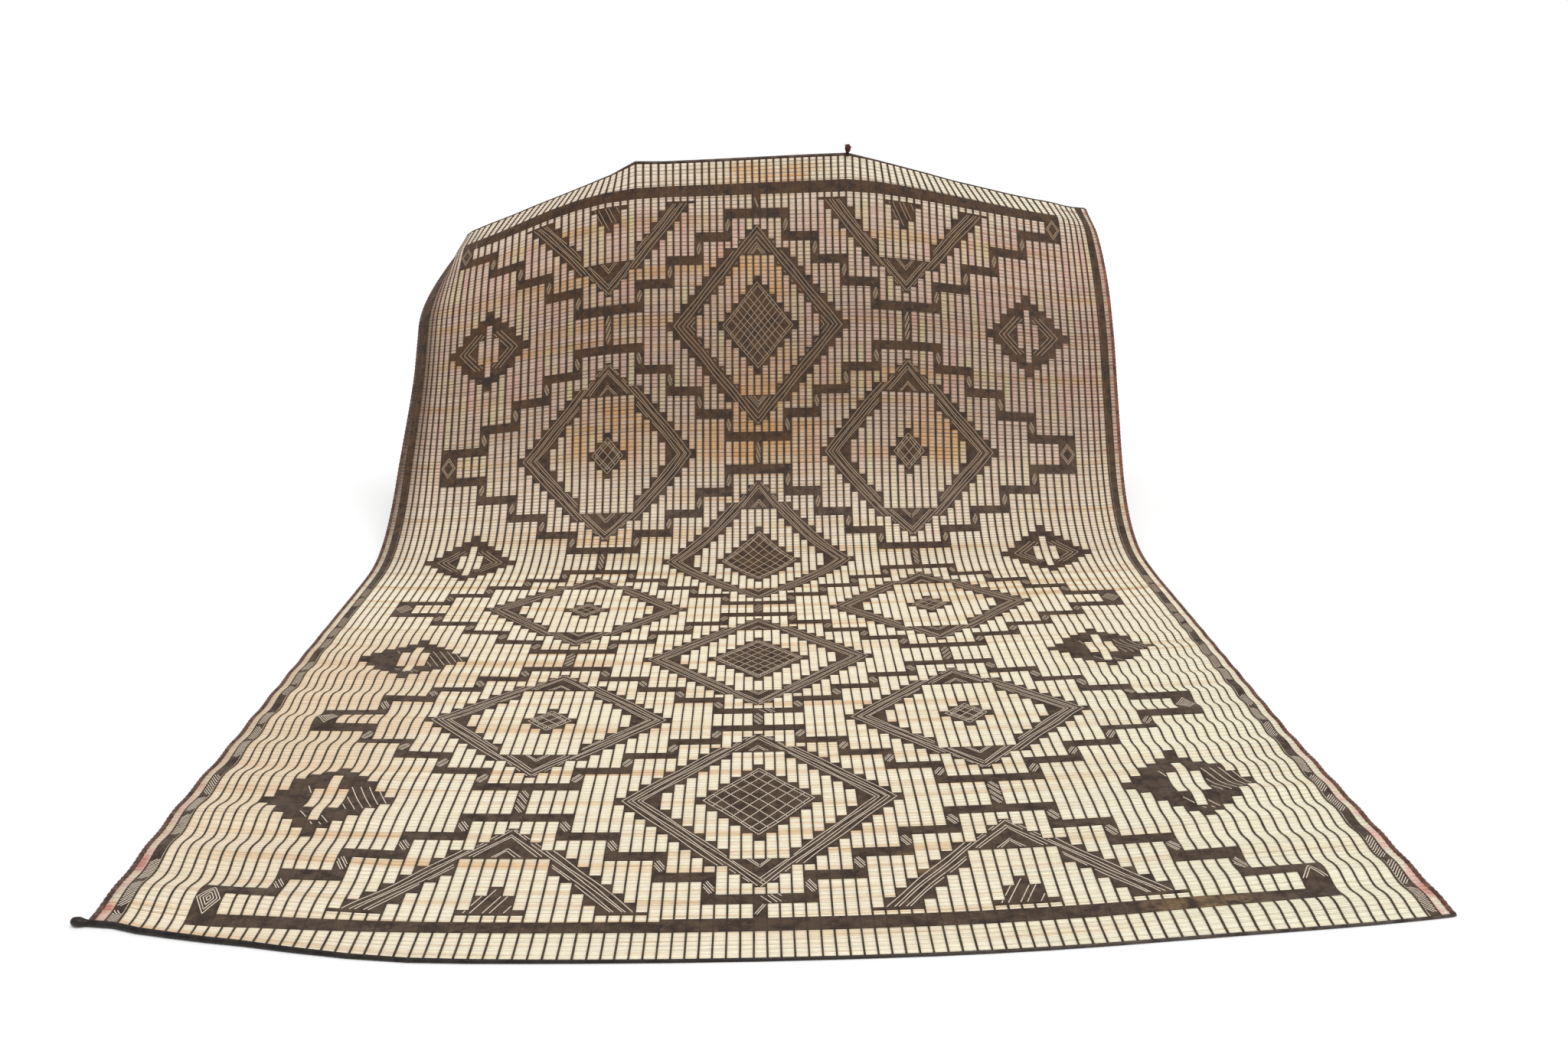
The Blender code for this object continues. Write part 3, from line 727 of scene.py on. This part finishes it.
TIES += [
    Tie(side * PAIRED_COLUMN, row - PAIRED_TIE, row + PAIRED_TIE) for side in (-1, 1) for row in LARGE_ROWS
]
TIES += [Tie(0, *block) for block in BLOCKS]
HALF_ROWS = 2 * ROWS
all_columns = np.arange(-OUTER_COLUMN, OUTER_COLUMN + 1)
cell_rows = (np.arange(HALF_ROWS) + 0.5) / 2


def height_of(steps, offset):
    steps = np.array((*steps, 0.0))
    return steps[np.minimum(offset, len(steps) - 1)]


def figure(motif, column, row):
    """The cells of one motif as a mask [column][half row]."""
    offset, away = np.abs(all_columns - column)[:, None], np.abs(cell_rows - row)[None]
    ring = (away < height_of(motif.outer, offset)) & (away > height_of(motif.inner, offset))
    return ring | (away < height_of(motif.centre, offset))


def cells(first_column, last_column, low_row, high_row):
    """The cells of a block as a mask like that of a figure. Its two columns come in either order."""
    left, right = sorted((first_column, last_column))
    in_columns = (all_columns >= left) & (all_columns <= right)
    return in_columns[:, None] & ((cell_rows > low_row) & (cell_rows < high_row))[None]


leather = cells(-END_BAND_COLUMN, NARROW_UP_TO, *NARROW_END_BAND)
leather |= cells(NARROW_UP_TO + 1, END_BAND_COLUMN, *END_BAND)
leather |= cells(-END_BAND_COLUMN, END_BAND_COLUMN, ROWS - END_BAND[1], ROWS - END_BAND[0])
for row in LARGE_ROWS:
    leather |= figure(LARGE, 0, row)
for side in (-1, 1):
    leather |= cells(side * BAND_COLUMN, side * BAND_COLUMN, 0, ROWS)
    for row in PAIRED_ROWS:
        leather |= figure(PAIRED, side * PAIRED_COLUMN, row)
    for row in HALVED_ROWS:
        leather |= figure(HALVED, side * PAIRED_COLUMN, row) & cells(-OUTER_COLUMN, OUTER_COLUMN, *BASE_ROWS)
    for row in LARGE_ROWS:
        leather |= figure(SMALL, side * SMALL_COLUMN, row)
        for bar in BARS:
            for at in (row - bar.away, row + bar.away):
                leather |= cells(side * bar.start, side * bar.end, at - BAR_HALF, at + BAR_HALF)
    for block in BLOCKS:
        leather |= cells(*(side * column for column in BLOCK_COLUMNS), *block)
for tie in TIES:
    leather |= cells(tie.column, *tie)

# A cell's four neighbours, each with the two corners of the wall between them.
CELL_WALLS = (
    ((-1, 0), (0, 1), (0, 0)), ((1, 0), (1, 0), (1, 1)), ((0, -1), (0, 0), (1, 0)), ((0, 1), (1, 1), (0, 1)),
)
BAND_INSIDE = 1.004


def cells_mesh(mask, high):
    """One closed flat body over the mask's cells, half as high above the middle of the sheet as below it."""
    framed = np.pad(mask, 1)
    faces, number = [], {}

    def corner(i, j, top):
        return number.setdefault((i, j, top), len(number))

    for i, j in zip(*np.nonzero(mask)):
        faces.append([corner(i, j, 1), corner(i + 1, j, 1), corner(i + 1, j + 1, 1), corner(i, j + 1, 1)])
        faces.append([corner(i, j, 0), corner(i, j + 1, 0), corner(i + 1, j + 1, 0), corner(i + 1, j, 0)])
        for (di, dj), *ends in CELL_WALLS:
            if not framed[i + 1 + di, j + 1 + dj]:
                a, b = ((i + end[0], j + end[1]) for end in ends)
                faces.append([corner(*a, 0), corner(*b, 0), corner(*b, 1), corner(*a, 1)])
    edges = all_columns[0] - 0.5 + np.arange(len(mask) + 1)
    edges[np.abs(edges) == BAND_COLUMN - 0.5] *= BAND_INSIDE
    points = [(edges[i], j / 2, (top - 0.5) * high) for i, j, top in number]
    return mesh_from("leather", points, faces)


LEATHER_COLOURS = HideColours(rgb(80, 63, 49), rgb(80, 54, 30), rgb(52, 39, 32), rgb(106, 84, 66))
FADED_PLACES = table(OVAL_FIELDS, (32.0, 6.0, 5.5, 4.0), (29.5, 16.5, 3.0, 3.0), (12.0, 18.0, 3.0, 4.0))
leather_work = run_tree(
    "leather_work", cells_mesh(leather, LEATHER_HIGH), lay, Lie=lie,
    Material=hide_material("figure leather", LEATHER_COLOURS, 0.55, seam=0.3, faded=FADED_PLACES),
)
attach(leather_work, "root")

# --- Pale lines --------------------------------------------------------------------------------
# Fine strips of undyed leather are threaded over the dark figures, in pairs along their slanting sides, in a
# lattice in the diamonds' middles and as short slanting stitches on the ties and side bands.
LINE_WIDE, LINE_HIGH, LINE_SUNK, LINE_FINER = 0.0020, 0.0009, 0.0004, 0.62
LINE_STEP, LINE_WANDER, LINE_WAVE = 0.5, 0.06, 0.7
COLUMN_SIZE, ROW_SIZE = 0.0272, 0.0175

stitching, stitching_in, stitching_out = new_tree(
    "line work", {**TO_LAY, **dict.fromkeys(("Column size", "Row size", "Wide", "High"), "Float")}, LAID
)
to_metres = vector(stitching, stitching_in["Column size"], stitching_in["Row size"], 1.0)
to_flat = vector_node(stitching, "DIVIDE", (1, 1, 1), to_metres)
runs = node(stitching, "GeometryNodeTransform", {"Geometry": stitching_in["Geometry"], "Scale": to_metres})
runs = node(stitching, "GeometryNodeMeshToCurve", runs.outputs[0]).outputs[0]
line_at = split(stitching, position(stitching))["Y"]
finer = stretch(stitching, line_at, *(row * ROW_SIZE for row in CHANGING_ROWS), 1.0, LINE_FINER)
runs = node(stitching, "GeometryNodeSetCurveRadius", {"Curve": runs, "Radius": finer}).outputs[0]
section = {"Width": stitching_in["Wide"], "Height": stitching_in["High"]}
section = node(stitching, "GeometryNodeCurvePrimitiveQuadrilateral", section).outputs[0]
strips = {"Curve": runs, "Profile Curve": section, "Fill Caps": True}
strips = node(stitching, "GeometryNodeCurveToMesh", strips).outputs[0]
strips = node(stitching, "GeometryNodeTransform", {"Geometry": strips, "Scale": to_flat}).outputs[0]
lay_down(stitching, strips, stitching_in, stitching_out)

line_height = (LEATHER_HIGH + LINE_HIGH) / 2 - LINE_SUNK
line_points, line_edges = [], []
EVERY_ROW = (0.0, ROWS)
WAYS = ((-1, -1), (-1, 1), (1, -1), (1, 1))


def on_leather(column, row):
    i, j = round(column) + OUTER_COLUMN, math.floor(2 * row)
    return 0 <= i < len(all_columns) and 0 <= j < HALF_ROWS and bool(leather[i, j])


def add_line(column, row, to_column, to_row, rows=EVERY_ROW, wander=LINE_WANDER):
    """A pale line between two places, which shows only where it runs over dark leather in those rows."""
    steps = max(math.ceil(abs(to_row - row) / LINE_STEP), 1)
    phase = random.random() * 2 * math.pi
    joined = False
    for step in range(steps + 1):
        share = step / steps
        c, r = column + (to_column - column) * share, row + (to_row - row) * share
        shows = on_leather(c, r) and rows[0] < r < rows[1]
        if shows:
            line_points.append((c + wander * math.sin(phase + LINE_WAVE * r), r, line_height))
        if shows and joined:
            line_edges.append((len(line_points) - 2, len(line_points) - 1))
        joined = shows


ARM_SLOPE = 2.0


def add_arms(column, row, lines, past=0.0, rows=EVERY_ROW):
    """Nested lines along a diamond's four sides. Those from the lower left may run past its lower point."""
    for line in lines:
        for side, way in WAYS:
            over = past if side < 0 and way < 0 else 0.0
            end = (column - side * over, row + way * (line + over * ARM_SLOPE))
            add_line(column + side * line / ARM_SLOPE, row, *end, rows)


def add_points(column, row, lines, inner, rows=EVERY_ROW):
    """Nested chevrons in the dark triangles at a diamond's two ends."""
    for line in lines:
        for side, way in WAYS:
            end = (column + side * (line - inner) / ARM_SLOPE, row + way * inner)
            add_line(column, row + way * line, *end, rows)


LATTICE_LINES, LATTICE_PAIR = 3, 0.8


def add_lattice(column, row, reach, pitch):
    """Crossing lines over a diamond, and a pair along each of its sides."""
    for way in (-1, 1):
        for number in range(-LATTICE_LINES, LATTICE_LINES + 1):
            at = number * pitch
            if abs(at) < reach - 1:
                centre = -way * at / (2 * ARM_SLOPE)
                ends = [centre + side * reach / (2 * ARM_SLOPE) for side in (-1, 1)]
                start, end = ((column + c, row + (way * ARM_SLOPE * c + at)) for c in ends)
                add_line(*start, *end)
    for line in (reach, reach - LATTICE_PAIR):
        for side, way in WAYS:
            add_line(column + side * line / ARM_SLOPE, row, column, row + way * line)


def add_stitches(column, low, high, lean, pitch=1.7, pair=0.6, half=0.42, rise=1.25):
    """Short steep pairs of stitches up a column of dark leather."""
    count = max(round((high - low) / pitch), 1)
    for number in range(count):
        at = low + (number + 0.5) * (high - low) / count - pair / 2
        for offset in (0, pair):
            start, end = at - lean * rise + offset, at + lean * rise + offset
            add_line(column - half, start, column + half, end, (low, high), 0.0)


def add_hatching(column, row, starts, from_row, half, to_row):
    """Straight lines side by side over a figure, all with the same slant."""
    for start in starts:
        add_line(column + start - half, row + from_row, column + start + half, row + to_row, wander=0.0)


LARGE_ARM, HUNG_ARM, PAIRED_ARM = (
    (20.2, 20.85, 22.0, 22.65, 23.8), (18.2, 19.4, 20.6, 21.8, 23.0), (18.2, 18.85, 20.0, 20.65, 21.8)
)
LARGE_POINT, LARGE_INNER, LARGE_MIDDLE = (17.0, 17.6), 15.7, 9.6
PAIRED_POINT, PAIRED_INNER, PAIRED_MIDDLE, PAIRED_PITCH = (14.8, 15.4), 13.2, 3.9, 2.4
for large in table(
    "row arm past pitch", (36, LARGE_ARM, 1.6, 3.2), (92, LARGE_ARM, 1.6, 2.8), (148, LARGE_ARM, 0.0, 2.8),
    (204, HUNG_ARM, 0.0, 1.9),
):
    add_arms(0, large.row, large.arm, large.past)
    add_points(0, large.row, LARGE_POINT, LARGE_INNER)
    add_lattice(0, large.row, LARGE_MIDDLE, large.pitch)
SMALL_HATCHING, SMALL_TIP = [0.72 * n - 1.0 for n in range(9)], (-0.6, 0.1, 0.8)
CHEVRONS, CHEVRON_REACH = (5.4, 6.6, 7.8), 4.6
HALF_LINES, HALF_LINE_ROWS, HALF_LINE_LEAN = (-1.9, -1.4, -0.5, 0.0, 1.0), (0.8, 5.8), 1.4
BAND_GROUP, BAND_START, BAND_STOP = 6, 0.5, 5.7
for side in (-1, 1):
    for row in PAIRED_ROWS + HALVED_ROWS:
        paired_column, rows = side * PAIRED_COLUMN, BASE_ROWS if row in HALVED_ROWS else EVERY_ROW
        add_arms(paired_column, row, PAIRED_ARM, rows=rows)
        add_points(paired_column, row, PAIRED_POINT, PAIRED_INNER, rows)
        if row in PAIRED_ROWS:
            add_lattice(paired_column, row, PAIRED_MIDDLE, PAIRED_PITCH)
            continue
        low, high = (row + at if row == HALVED_ROWS[0] else row - at for at in HALF_LINE_ROWS)
        for start in HALF_LINES:
            add_line(paired_column + start, low, paired_column + start + HALF_LINE_LEAN, high, rows, 0.0)
    for row in LARGE_ROWS:
        small_column = side * SMALL_COLUMN
        if row < REST_ROWS:
            add_hatching(small_column, row, SMALL_HATCHING, 3.4, 1.0, -3.4)
            add_hatching(small_column, row, SMALL_TIP, -4.6, 0.7, -7.4)
            continue
        for line in CHEVRONS:
            for way, end in WAYS:
                tip = (small_column + end * (line - CHEVRON_REACH) / 2, row + way * CHEVRON_REACH)
                add_line(small_column + end * line / 2, row, *tip, wander=0.0)
    for group in range(REST_ROWS // BAND_GROUP):
        if group % 4 != 3:
            start, stop = BAND_GROUP * group + BAND_START, BAND_GROUP * group + BAND_STOP
            lean = 1 if group % 3 else -1
            add_stitches(side * BAND_COLUMN, start, stop, lean, pitch=1.15, pair=0.5, half=0.38, rise=0.7)
for number, tie in enumerate(TIES):
    half = 0.42 if tie.low < REST_ROWS else 0.3
    add_stitches(tie.column, tie.low + 1, tie.high - 1, 1 if number % 2 else -1, half=half)
BLOCK_SIZES, BLOCK_TALL = (0.92, 0.68, 0.42, 0.18), 2.6
for side in (-1, 1):
    for low, high in BLOCKS:
        block_column, row = side * sum(BLOCK_COLUMNS) / 2, (low + high) / 2
        plain = side > 0 and low < END_BAND[1]
        for size in BLOCK_SIZES[:2] if plain or low > REST_ROWS else BLOCK_SIZES:
            for way, end in WAYS:
                if way > 0 or not plain:
                    top = row + way * size * BLOCK_TALL
                    add_line(block_column + end * size, row, block_column, top, wander=0.0)


NEAR_LINE, MIDDLE_LINE, FAR_LINE = rgb(222, 208, 188), rgb(190, 170, 146), rgb(172, 150, 124)
RUBBED_LINE, LINE_GRAIN, MIDDLE_LINE_ROWS, FAR_LINE_ROWS = rgb(104, 86, 72), 700.0, (30, 130), (130, 200)


def line_material():
    material, tree, shader = new_material("pale leather", 0.6)
    row = place_on_mat(tree)[1]
    _, rub, height = hide_finish(tree, LINE_GRAIN)
    colour = layered(
        tree, NEAR_LINE, (stretch(tree, row, *MIDDLE_LINE_ROWS), MIDDLE_LINE),
        (stretch(tree, row, *FAR_LINE_ROWS), FAR_LINE), (rub, RUBBED_LINE),
    )
    tree.links.new(colour, shader.inputs["Base Color"])
    add_relief(tree, shader, height, 0.4, 0.0004)
    return material


pale_lines = run_tree(
    "pale_lines", mesh_from("pale lines", line_points, [], line_edges), stitching, Column_size=COLUMN_SIZE,
    Row_size=ROW_SIZE, Wide=LINE_WIDE, High=LINE_HIGH, Lie=lie, Material=line_material(),
)
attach(pale_lines, "root")

# --- Side bindings -----------------------------------------------------------------------------
# A folded strip of leather closes each long side over the reeds' ends, held by a whip stitch.
BINDING_INNER, BINDING_OUTER, BINDING_HIGH = 48.25, 48.82, 0.0042
BINDING_SIDES, BINDING_STEP, BINDING_PITCH, BINDING_WOUND = 10, 0.25, 1.0, 0.1


def binding_mesh(side):
    rows = np.arange(0, ROWS + BINDING_STEP, BINDING_STEP)
    wide = (BINDING_OUTER - BINDING_INNER) / 2
    points = []
    for row in rows:
        for turn in np.linspace(0, 2 * math.pi, BINDING_SIDES, endpoint=False):
            wrap = 1 + BINDING_WOUND * math.sin(2 * math.pi * row / BINDING_PITCH + turn)
            x, z = wide * wrap * math.cos(turn), BINDING_HIGH * wrap * math.sin(turn)
            points.append((side * (BINDING_INNER + BINDING_OUTER) / 2 + x, row, z))
    return mesh_from("binding", points, sweep_faces(len(rows), BINDING_SIDES))


BINDING_COLOURS = {
    "left": HideColours(rgb(96, 66, 54), rgb(92, 70, 58), rgb(66, 44, 38), rgb(150, 124, 108)),
    "right": HideColours(rgb(104, 66, 52), rgb(126, 70, 50), rgb(74, 44, 36), rgb(168, 120, 98)),
}
bindings = []
for side, which in ((-1, "left"), (1, "right")):
    binding = run_tree(
        f"side_binding_{which}_leather", binding_mesh(side), lay, Lie=lie,
        Material=hide_material(f"{which} binding leather", BINDING_COLOURS[which], 0.5),
    )
    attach(binding, "root")
    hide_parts(f"side_binding_{which}")
    bindings.append(binding)

# --- Near roll ---------------------------------------------------------------------------------
# The near edge is rolled over a cord and bound with black leather thong, and lies on the floor. It is
# thickest at the left corner, where its end stands past the mat as a knob, and paler and thin at the right.
GAP = 0.0003
NEAR_ROLL = table(
    "column radius", (-48.5, 0.0068), (-34.0, 0.0056), (-20.0, 0.0042), (-12.0, 0.0036), (48.5, 0.0033)
)
NEAR_ROLL_BEYOND, NEAR_ROLL_KNOB, NEAR_KNOB_SHARES = 0.032, 0.0100, (0.55, 0.9, 1.0, 1.0, 0.9, 0.75)
NEAR_ROLL_TIP, NEAR_TIP_SHARE = 0.006, 0.6
ROLL_SIDES, ROLL_STEP, ROLL_GRAIN = 14, 0.0035, 320.0
THONG_WIDE, THONG_DEEP, THONG_BULGE, THONG_LEVEL = 0.011, 0.08, 0.5, 0.8


def outwards(edge, normals):
    """Directions out of the sheet, square to its edge, longer at a bend so that a roll clears both sides."""
    pieces = unit(np.diff(edge, axis=0))
    before, after = np.vstack((pieces[:1], pieces)), np.vstack((pieces, pieces[-1:]))
    out = unit(np.cross(unit(before + after), normals))
    bend = np.arccos(np.clip((before * after).sum(axis=1), -1, 1))
    return out / np.cos(bend / 2)[:, None]


def evenly(path, values, step):
    """The path and the values along it at even steps of length, and the length to each step."""
    run = np.concatenate(([0], np.cumsum(np.linalg.norm(np.diff(path, axis=0), axis=1))))
    at = np.linspace(0, run[-1], max(round(run[-1] / step), 2) + 1)
    fields = (np.atleast_2d(field.T) for field in (path, *values))
    return *(np.stack([np.interp(at, run, line) for line in field], axis=1) for field in fields), at


def ring_points(path, first, sizes):
    """A ring of points round each place of the path, clockwise from its first direction, of those sizes."""
    second = np.cross(unit(np.gradient(path, axis=0)), first)
    turns = np.linspace(0, -2 * math.pi, sizes.shape[1], endpoint=False)[:, None]
    around = np.cos(turns) * first[:, None] + np.sin(turns) * second[:, None]
    return (path[:, None] + sizes[..., None] * around).reshape(-1, 3)


def bound_roll(name, path, outward_at, radii, material):
    """A round roll along the path, bound with thong: its ridges run round it in a slow screw."""
    path, out, radius, at = evenly(path, (outward_at, radii), ROLL_STEP)
    ahead = unit(np.gradient(path, axis=0))
    first = unit(out - ahead * (out * ahead).sum(axis=1, keepdims=True))
    turns = np.linspace(0, -2 * math.pi, ROLL_SIDES, endpoint=False)
    ridges = np.abs(np.sin(math.pi * at[:, None] / THONG_WIDE + turns / 2)) ** THONG_BULGE - THONG_LEVEL
    points = ring_points(path, first, radius * (1 + THONG_DEEP * ridges))
    made = mesh_from(name, points, sweep_faces(len(path), ROLL_SIDES))
    made.materials.append(material)
    return add_object(name, made)


def roll_material(name, dark, light, roughness, side_tone=None):
    """Dyed leather or thread, with a colour of wear towards the right end if side_tone gives one."""
    material, tree, shader = new_material(name, roughness)
    dye, rub, height = hide_finish(tree, ROLL_GRAIN)
    if side_tone:
        where = node(tree, "ShaderNodeTexCoord").outputs["Object"]
        to_right = split(tree, where)["X"]
        dark = mix(tree, stretch(tree, to_right, -0.3, 0.9), dark, side_tone)
    tree.links.new(mix(tree, plus(tree, dye, rub), dark, light), shader.inputs["Base Color"])
    add_relief(tree, shader, height, 0.5, 0.0008)
    return material


near_edge = middle[:, 0]
to_left, to_right = unit(near_edge[0] - near_edge[1]), unit(near_edge[-1] - near_edge[-2])
knob = near_edge[0] + to_left * np.linspace(NEAR_ROLL_BEYOND, NEAR_ROLL_TIP, len(NEAR_KNOB_SHARES))[:, None]
near_edge = np.vstack((knob, near_edge, near_edge[-1] + to_right * NEAR_ROLL_TIP))
along_roll = [between(NEAR_ROLL, c, "radius") for c in column_lines]
knob_radii = [NEAR_ROLL_KNOB * share for share in NEAR_KNOB_SHARES]
near_radii = np.array([*knob_radii, *along_roll, along_roll[-1] * NEAR_TIP_SHARE])
near_edge[:, 2] = near_radii
near_out = outwards(near_edge, np.tile((0.0, 0.0, 1.0), (len(near_edge), 1)))
near_roll = bound_roll(
    "near_roll_binding", near_edge + near_out * (near_radii[:, None] + GAP), near_out, near_radii,
    roll_material("near roll leather", rgb(20, 16, 15), rgb(46, 37, 32), 0.42, side_tone=rgb(84, 72, 64)),
)
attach(near_roll, "root")
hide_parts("near_roll")

# --- Far roll ----------------------------------------------------------------------------------
# The far edge has the same binding, but slimmer, and slimmer still outside the two points that hold the mat.
FAR_ROLL, FAR_ROLL_SLIM = 0.0055, 0.7
far_edge = middle[:, -1]
far_out = -outwards(far_edge, outward[:, -1])
between_holds = [LEFT_HOLD - 1 < c < KNOT_COLUMN + 1 for c in column_lines]
far_radii = np.where(between_holds, FAR_ROLL, FAR_ROLL * FAR_ROLL_SLIM)
far_roll = bound_roll(
    "far_roll_binding", far_edge + far_out * (far_radii[:, None] + GAP), far_out, far_radii,
    roll_material("far roll leather", rgb(58, 46, 42), rgb(104, 84, 74), 0.5),
)
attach(far_roll, "root")
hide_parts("far_roll")

# --- Knot --------------------------------------------------------------------------------------
# The loop that holds the mat up goes round the far roll and is tied off in front of it in a small dark knot,
# with two free ends.
KNOT_WIDTH, KNOT_DEPTH, KNOT_HEIGHT, KNOT_CLEAR, KNOT_RISE = 0.020, 0.014, 0.036, 0.0085, 0.016
THREAD, CORE, LOOP_SHIFT, LOOP_OPEN, END_SHARE = 0.0022, 0.006, 0.003, 0.12, 0.7
KNOT_TURNS, KNOT_STEPS, CORE_STEPS, END_STEPS = 7, 24, 9, 10
WRAP_REACH, WRAP_ROUND, WRAP_LEAST, WRAP_SHARE, CORE_REACH = 0.42, 0.26, 0.02, 0.8, 0.4
END_START, END_OUT, END_FORWARD, END_DROOP, END_RISES = 0.004, 0.009, 0.003, 0.012, (0.020, 0.010)
knot_index = column_lines.index(KNOT_COLUMN)
knot_front = unit(np.cross(far_edge[knot_index + 1] - far_edge[knot_index - 1], far_out[knot_index]))
loop_middle = far_edge[knot_index] + far_out[knot_index] * (FAR_ROLL + GAP)
knot_middle = loop_middle + knot_front * (FAR_ROLL + GAP + KNOT_CLEAR) + np.array((0, 0, KNOT_RISE))
CORD_SIDES, ALMOST_UP = 8, (0.13, 0.21, 0.97)


def join_cords(name, cords):
    """Round cords, each with its route and thickness, as one mesh."""
    points, faces = [], []
    for route, radius in cords:
        first = unit(np.cross(unit(np.gradient(route, axis=0)), ALMOST_UP))
        faces += [[len(points) + i for i in face] for face in sweep_faces(len(route), CORD_SIDES)]
        points += [*ring_points(route, first, np.full((len(route), CORD_SIDES), radius))]
    return mesh_from(name, points, faces)


# The thread winds round a core, fuller in the knot's middle than at its two ends.
turn = np.linspace(0, 2 * math.pi * KNOT_TURNS, KNOT_TURNS * KNOT_STEPS)
level = np.linspace(-WRAP_REACH, WRAP_REACH, len(turn))
belly = np.sqrt(np.clip(WRAP_ROUND - level**2, WRAP_LEAST, 1))
x, y = belly * (KNOT_WIDTH - THREAD) * np.cos(turn), belly * (KNOT_DEPTH - THREAD) * np.sin(turn)
wraps = knot_middle + np.stack((x, y, level * KNOT_HEIGHT * WRAP_SHARE), axis=1)
core = knot_middle + np.linspace(-CORE_REACH, CORE_REACH, CORE_STEPS)[:, None] * (0, 0, KNOT_HEIGHT)
t = np.linspace(0, 1, END_STEPS)
free_ends = []
for side, rise in zip((-1, 1), END_RISES):
    x, y, z = side * (END_START + END_OUT * t), -END_START - END_FORWARD * t, rise * t - END_DROOP * t * t
    end = knot_middle + np.stack((x, y, END_START + z), axis=1)
    free_ends.append((end, THREAD * END_SHARE))
loop_turn = np.linspace(LOOP_OPEN, 2 * math.pi - LOOP_OPEN, KNOT_STEPS)[:, None]
loop = np.cos(loop_turn) * knot_front + np.sin(loop_turn) * far_out[knot_index]
loop = loop_middle + (FAR_ROLL + THREAD + GAP) * loop
loops = [(loop + np.array((shift, 0, 0)), THREAD) for shift in (-LOOP_SHIFT, LOOP_SHIFT)]
knot_mesh = join_cords("knot", [(wraps, THREAD), (core, CORE), *loops, *free_ends])
knot_mesh.materials.append(roll_material("knot thread", rgb(52, 28, 24), rgb(116, 66, 54), 0.75))
knot = add_object("hold_knot_thread", knot_mesh)
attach(knot, "root")
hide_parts("hold_knot")

# --- Smooth and flat shading -------------------------------------------------------------------
for piece in (reeds, *bindings, near_roll, far_roll, knot):
    piece.data.shade_smooth()
for piece in (laces, leather_work, pale_lines):
    piece.data.shade_flat()
bpy.data.objects.remove(lie)

# --- Floor, light and camera -------------------------------------------------------------------
# A white studio floor, an even white glow from all round and a broad soft light from above and in front.
GLOW, OVERHEAD, OVERHEAD_SPREAD, OVERHEAD_TURN = 0.56, 1.81, 50.0, (18.0, 8.0, 0.0)
FLOOR_RADIUS, FLOOR_SIDES, FLOOR_WHITE = 30.0, 96, 0.97
round_floor = np.linspace(0, 2 * math.pi, FLOOR_SIDES, endpoint=False)
floor_rim = [(FLOOR_RADIUS * math.cos(a), FLOOR_RADIUS * math.sin(a), 0) for a in round_floor]
floor = add_object("floor", mesh_from("floor", floor_rim, [list(range(FLOOR_SIDES))]))
floor_material, _, floor_shader = new_material("floor paint", 0.9)
floor_shader.inputs["Base Color"].default_value = (FLOOR_WHITE, FLOOR_WHITE, FLOOR_WHITE, 1)
floor.data.materials.append(floor_material)

world = bpy.data.worlds.new("studio")
bpy.context.scene.world = world
world.use_nodes = True
sky = world.node_tree
glow = sky.nodes["Background"]
glow.inputs["Color"].default_value = (1, 1, 1, 1)
glow.inputs["Strength"].default_value = GLOW
backdrop = node(sky, "ShaderNodeBackground", (1, 1, 1, 1), 1.0)
in_view = node(sky, "ShaderNodeLightPath").outputs["Is Camera Ray"]
seen = node(sky, "ShaderNodeMixShader", in_view, glow.outputs[0], backdrop.outputs[0])
sky.links.new(seen.outputs[0], sky.nodes["World Output"].inputs["Surface"])
bpy.context.scene.view_settings.view_transform = "Standard"
light = bpy.data.lights.new("overhead", "SUN")
light.energy, light.angle = OVERHEAD, math.radians(OVERHEAD_SPREAD)
overhead = add_object("overhead", light)
overhead.rotation_euler = tuple(math.radians(a) for a in OVERHEAD_TURN)

LENS, CAMERA_PLACE, HEADING, PITCH, TILT = 36.1, (0.027, -4.6, 1.549), -0.70, 74.69, -0.84
camera_data = bpy.data.cameras.new("camera")
camera_data.lens = LENS
camera = add_object("camera", camera_data)
heading, pitch, tilt = (
    Matrix.Rotation(math.radians(a), 4, axis) for a, axis in ((HEADING, "Z"), (PITCH, "X"), (TILT, "Z"))
)
camera.location = CAMERA_PLACE
camera.rotation_euler = (heading @ pitch @ tilt).to_euler()
bpy.context.scene.camera = camera
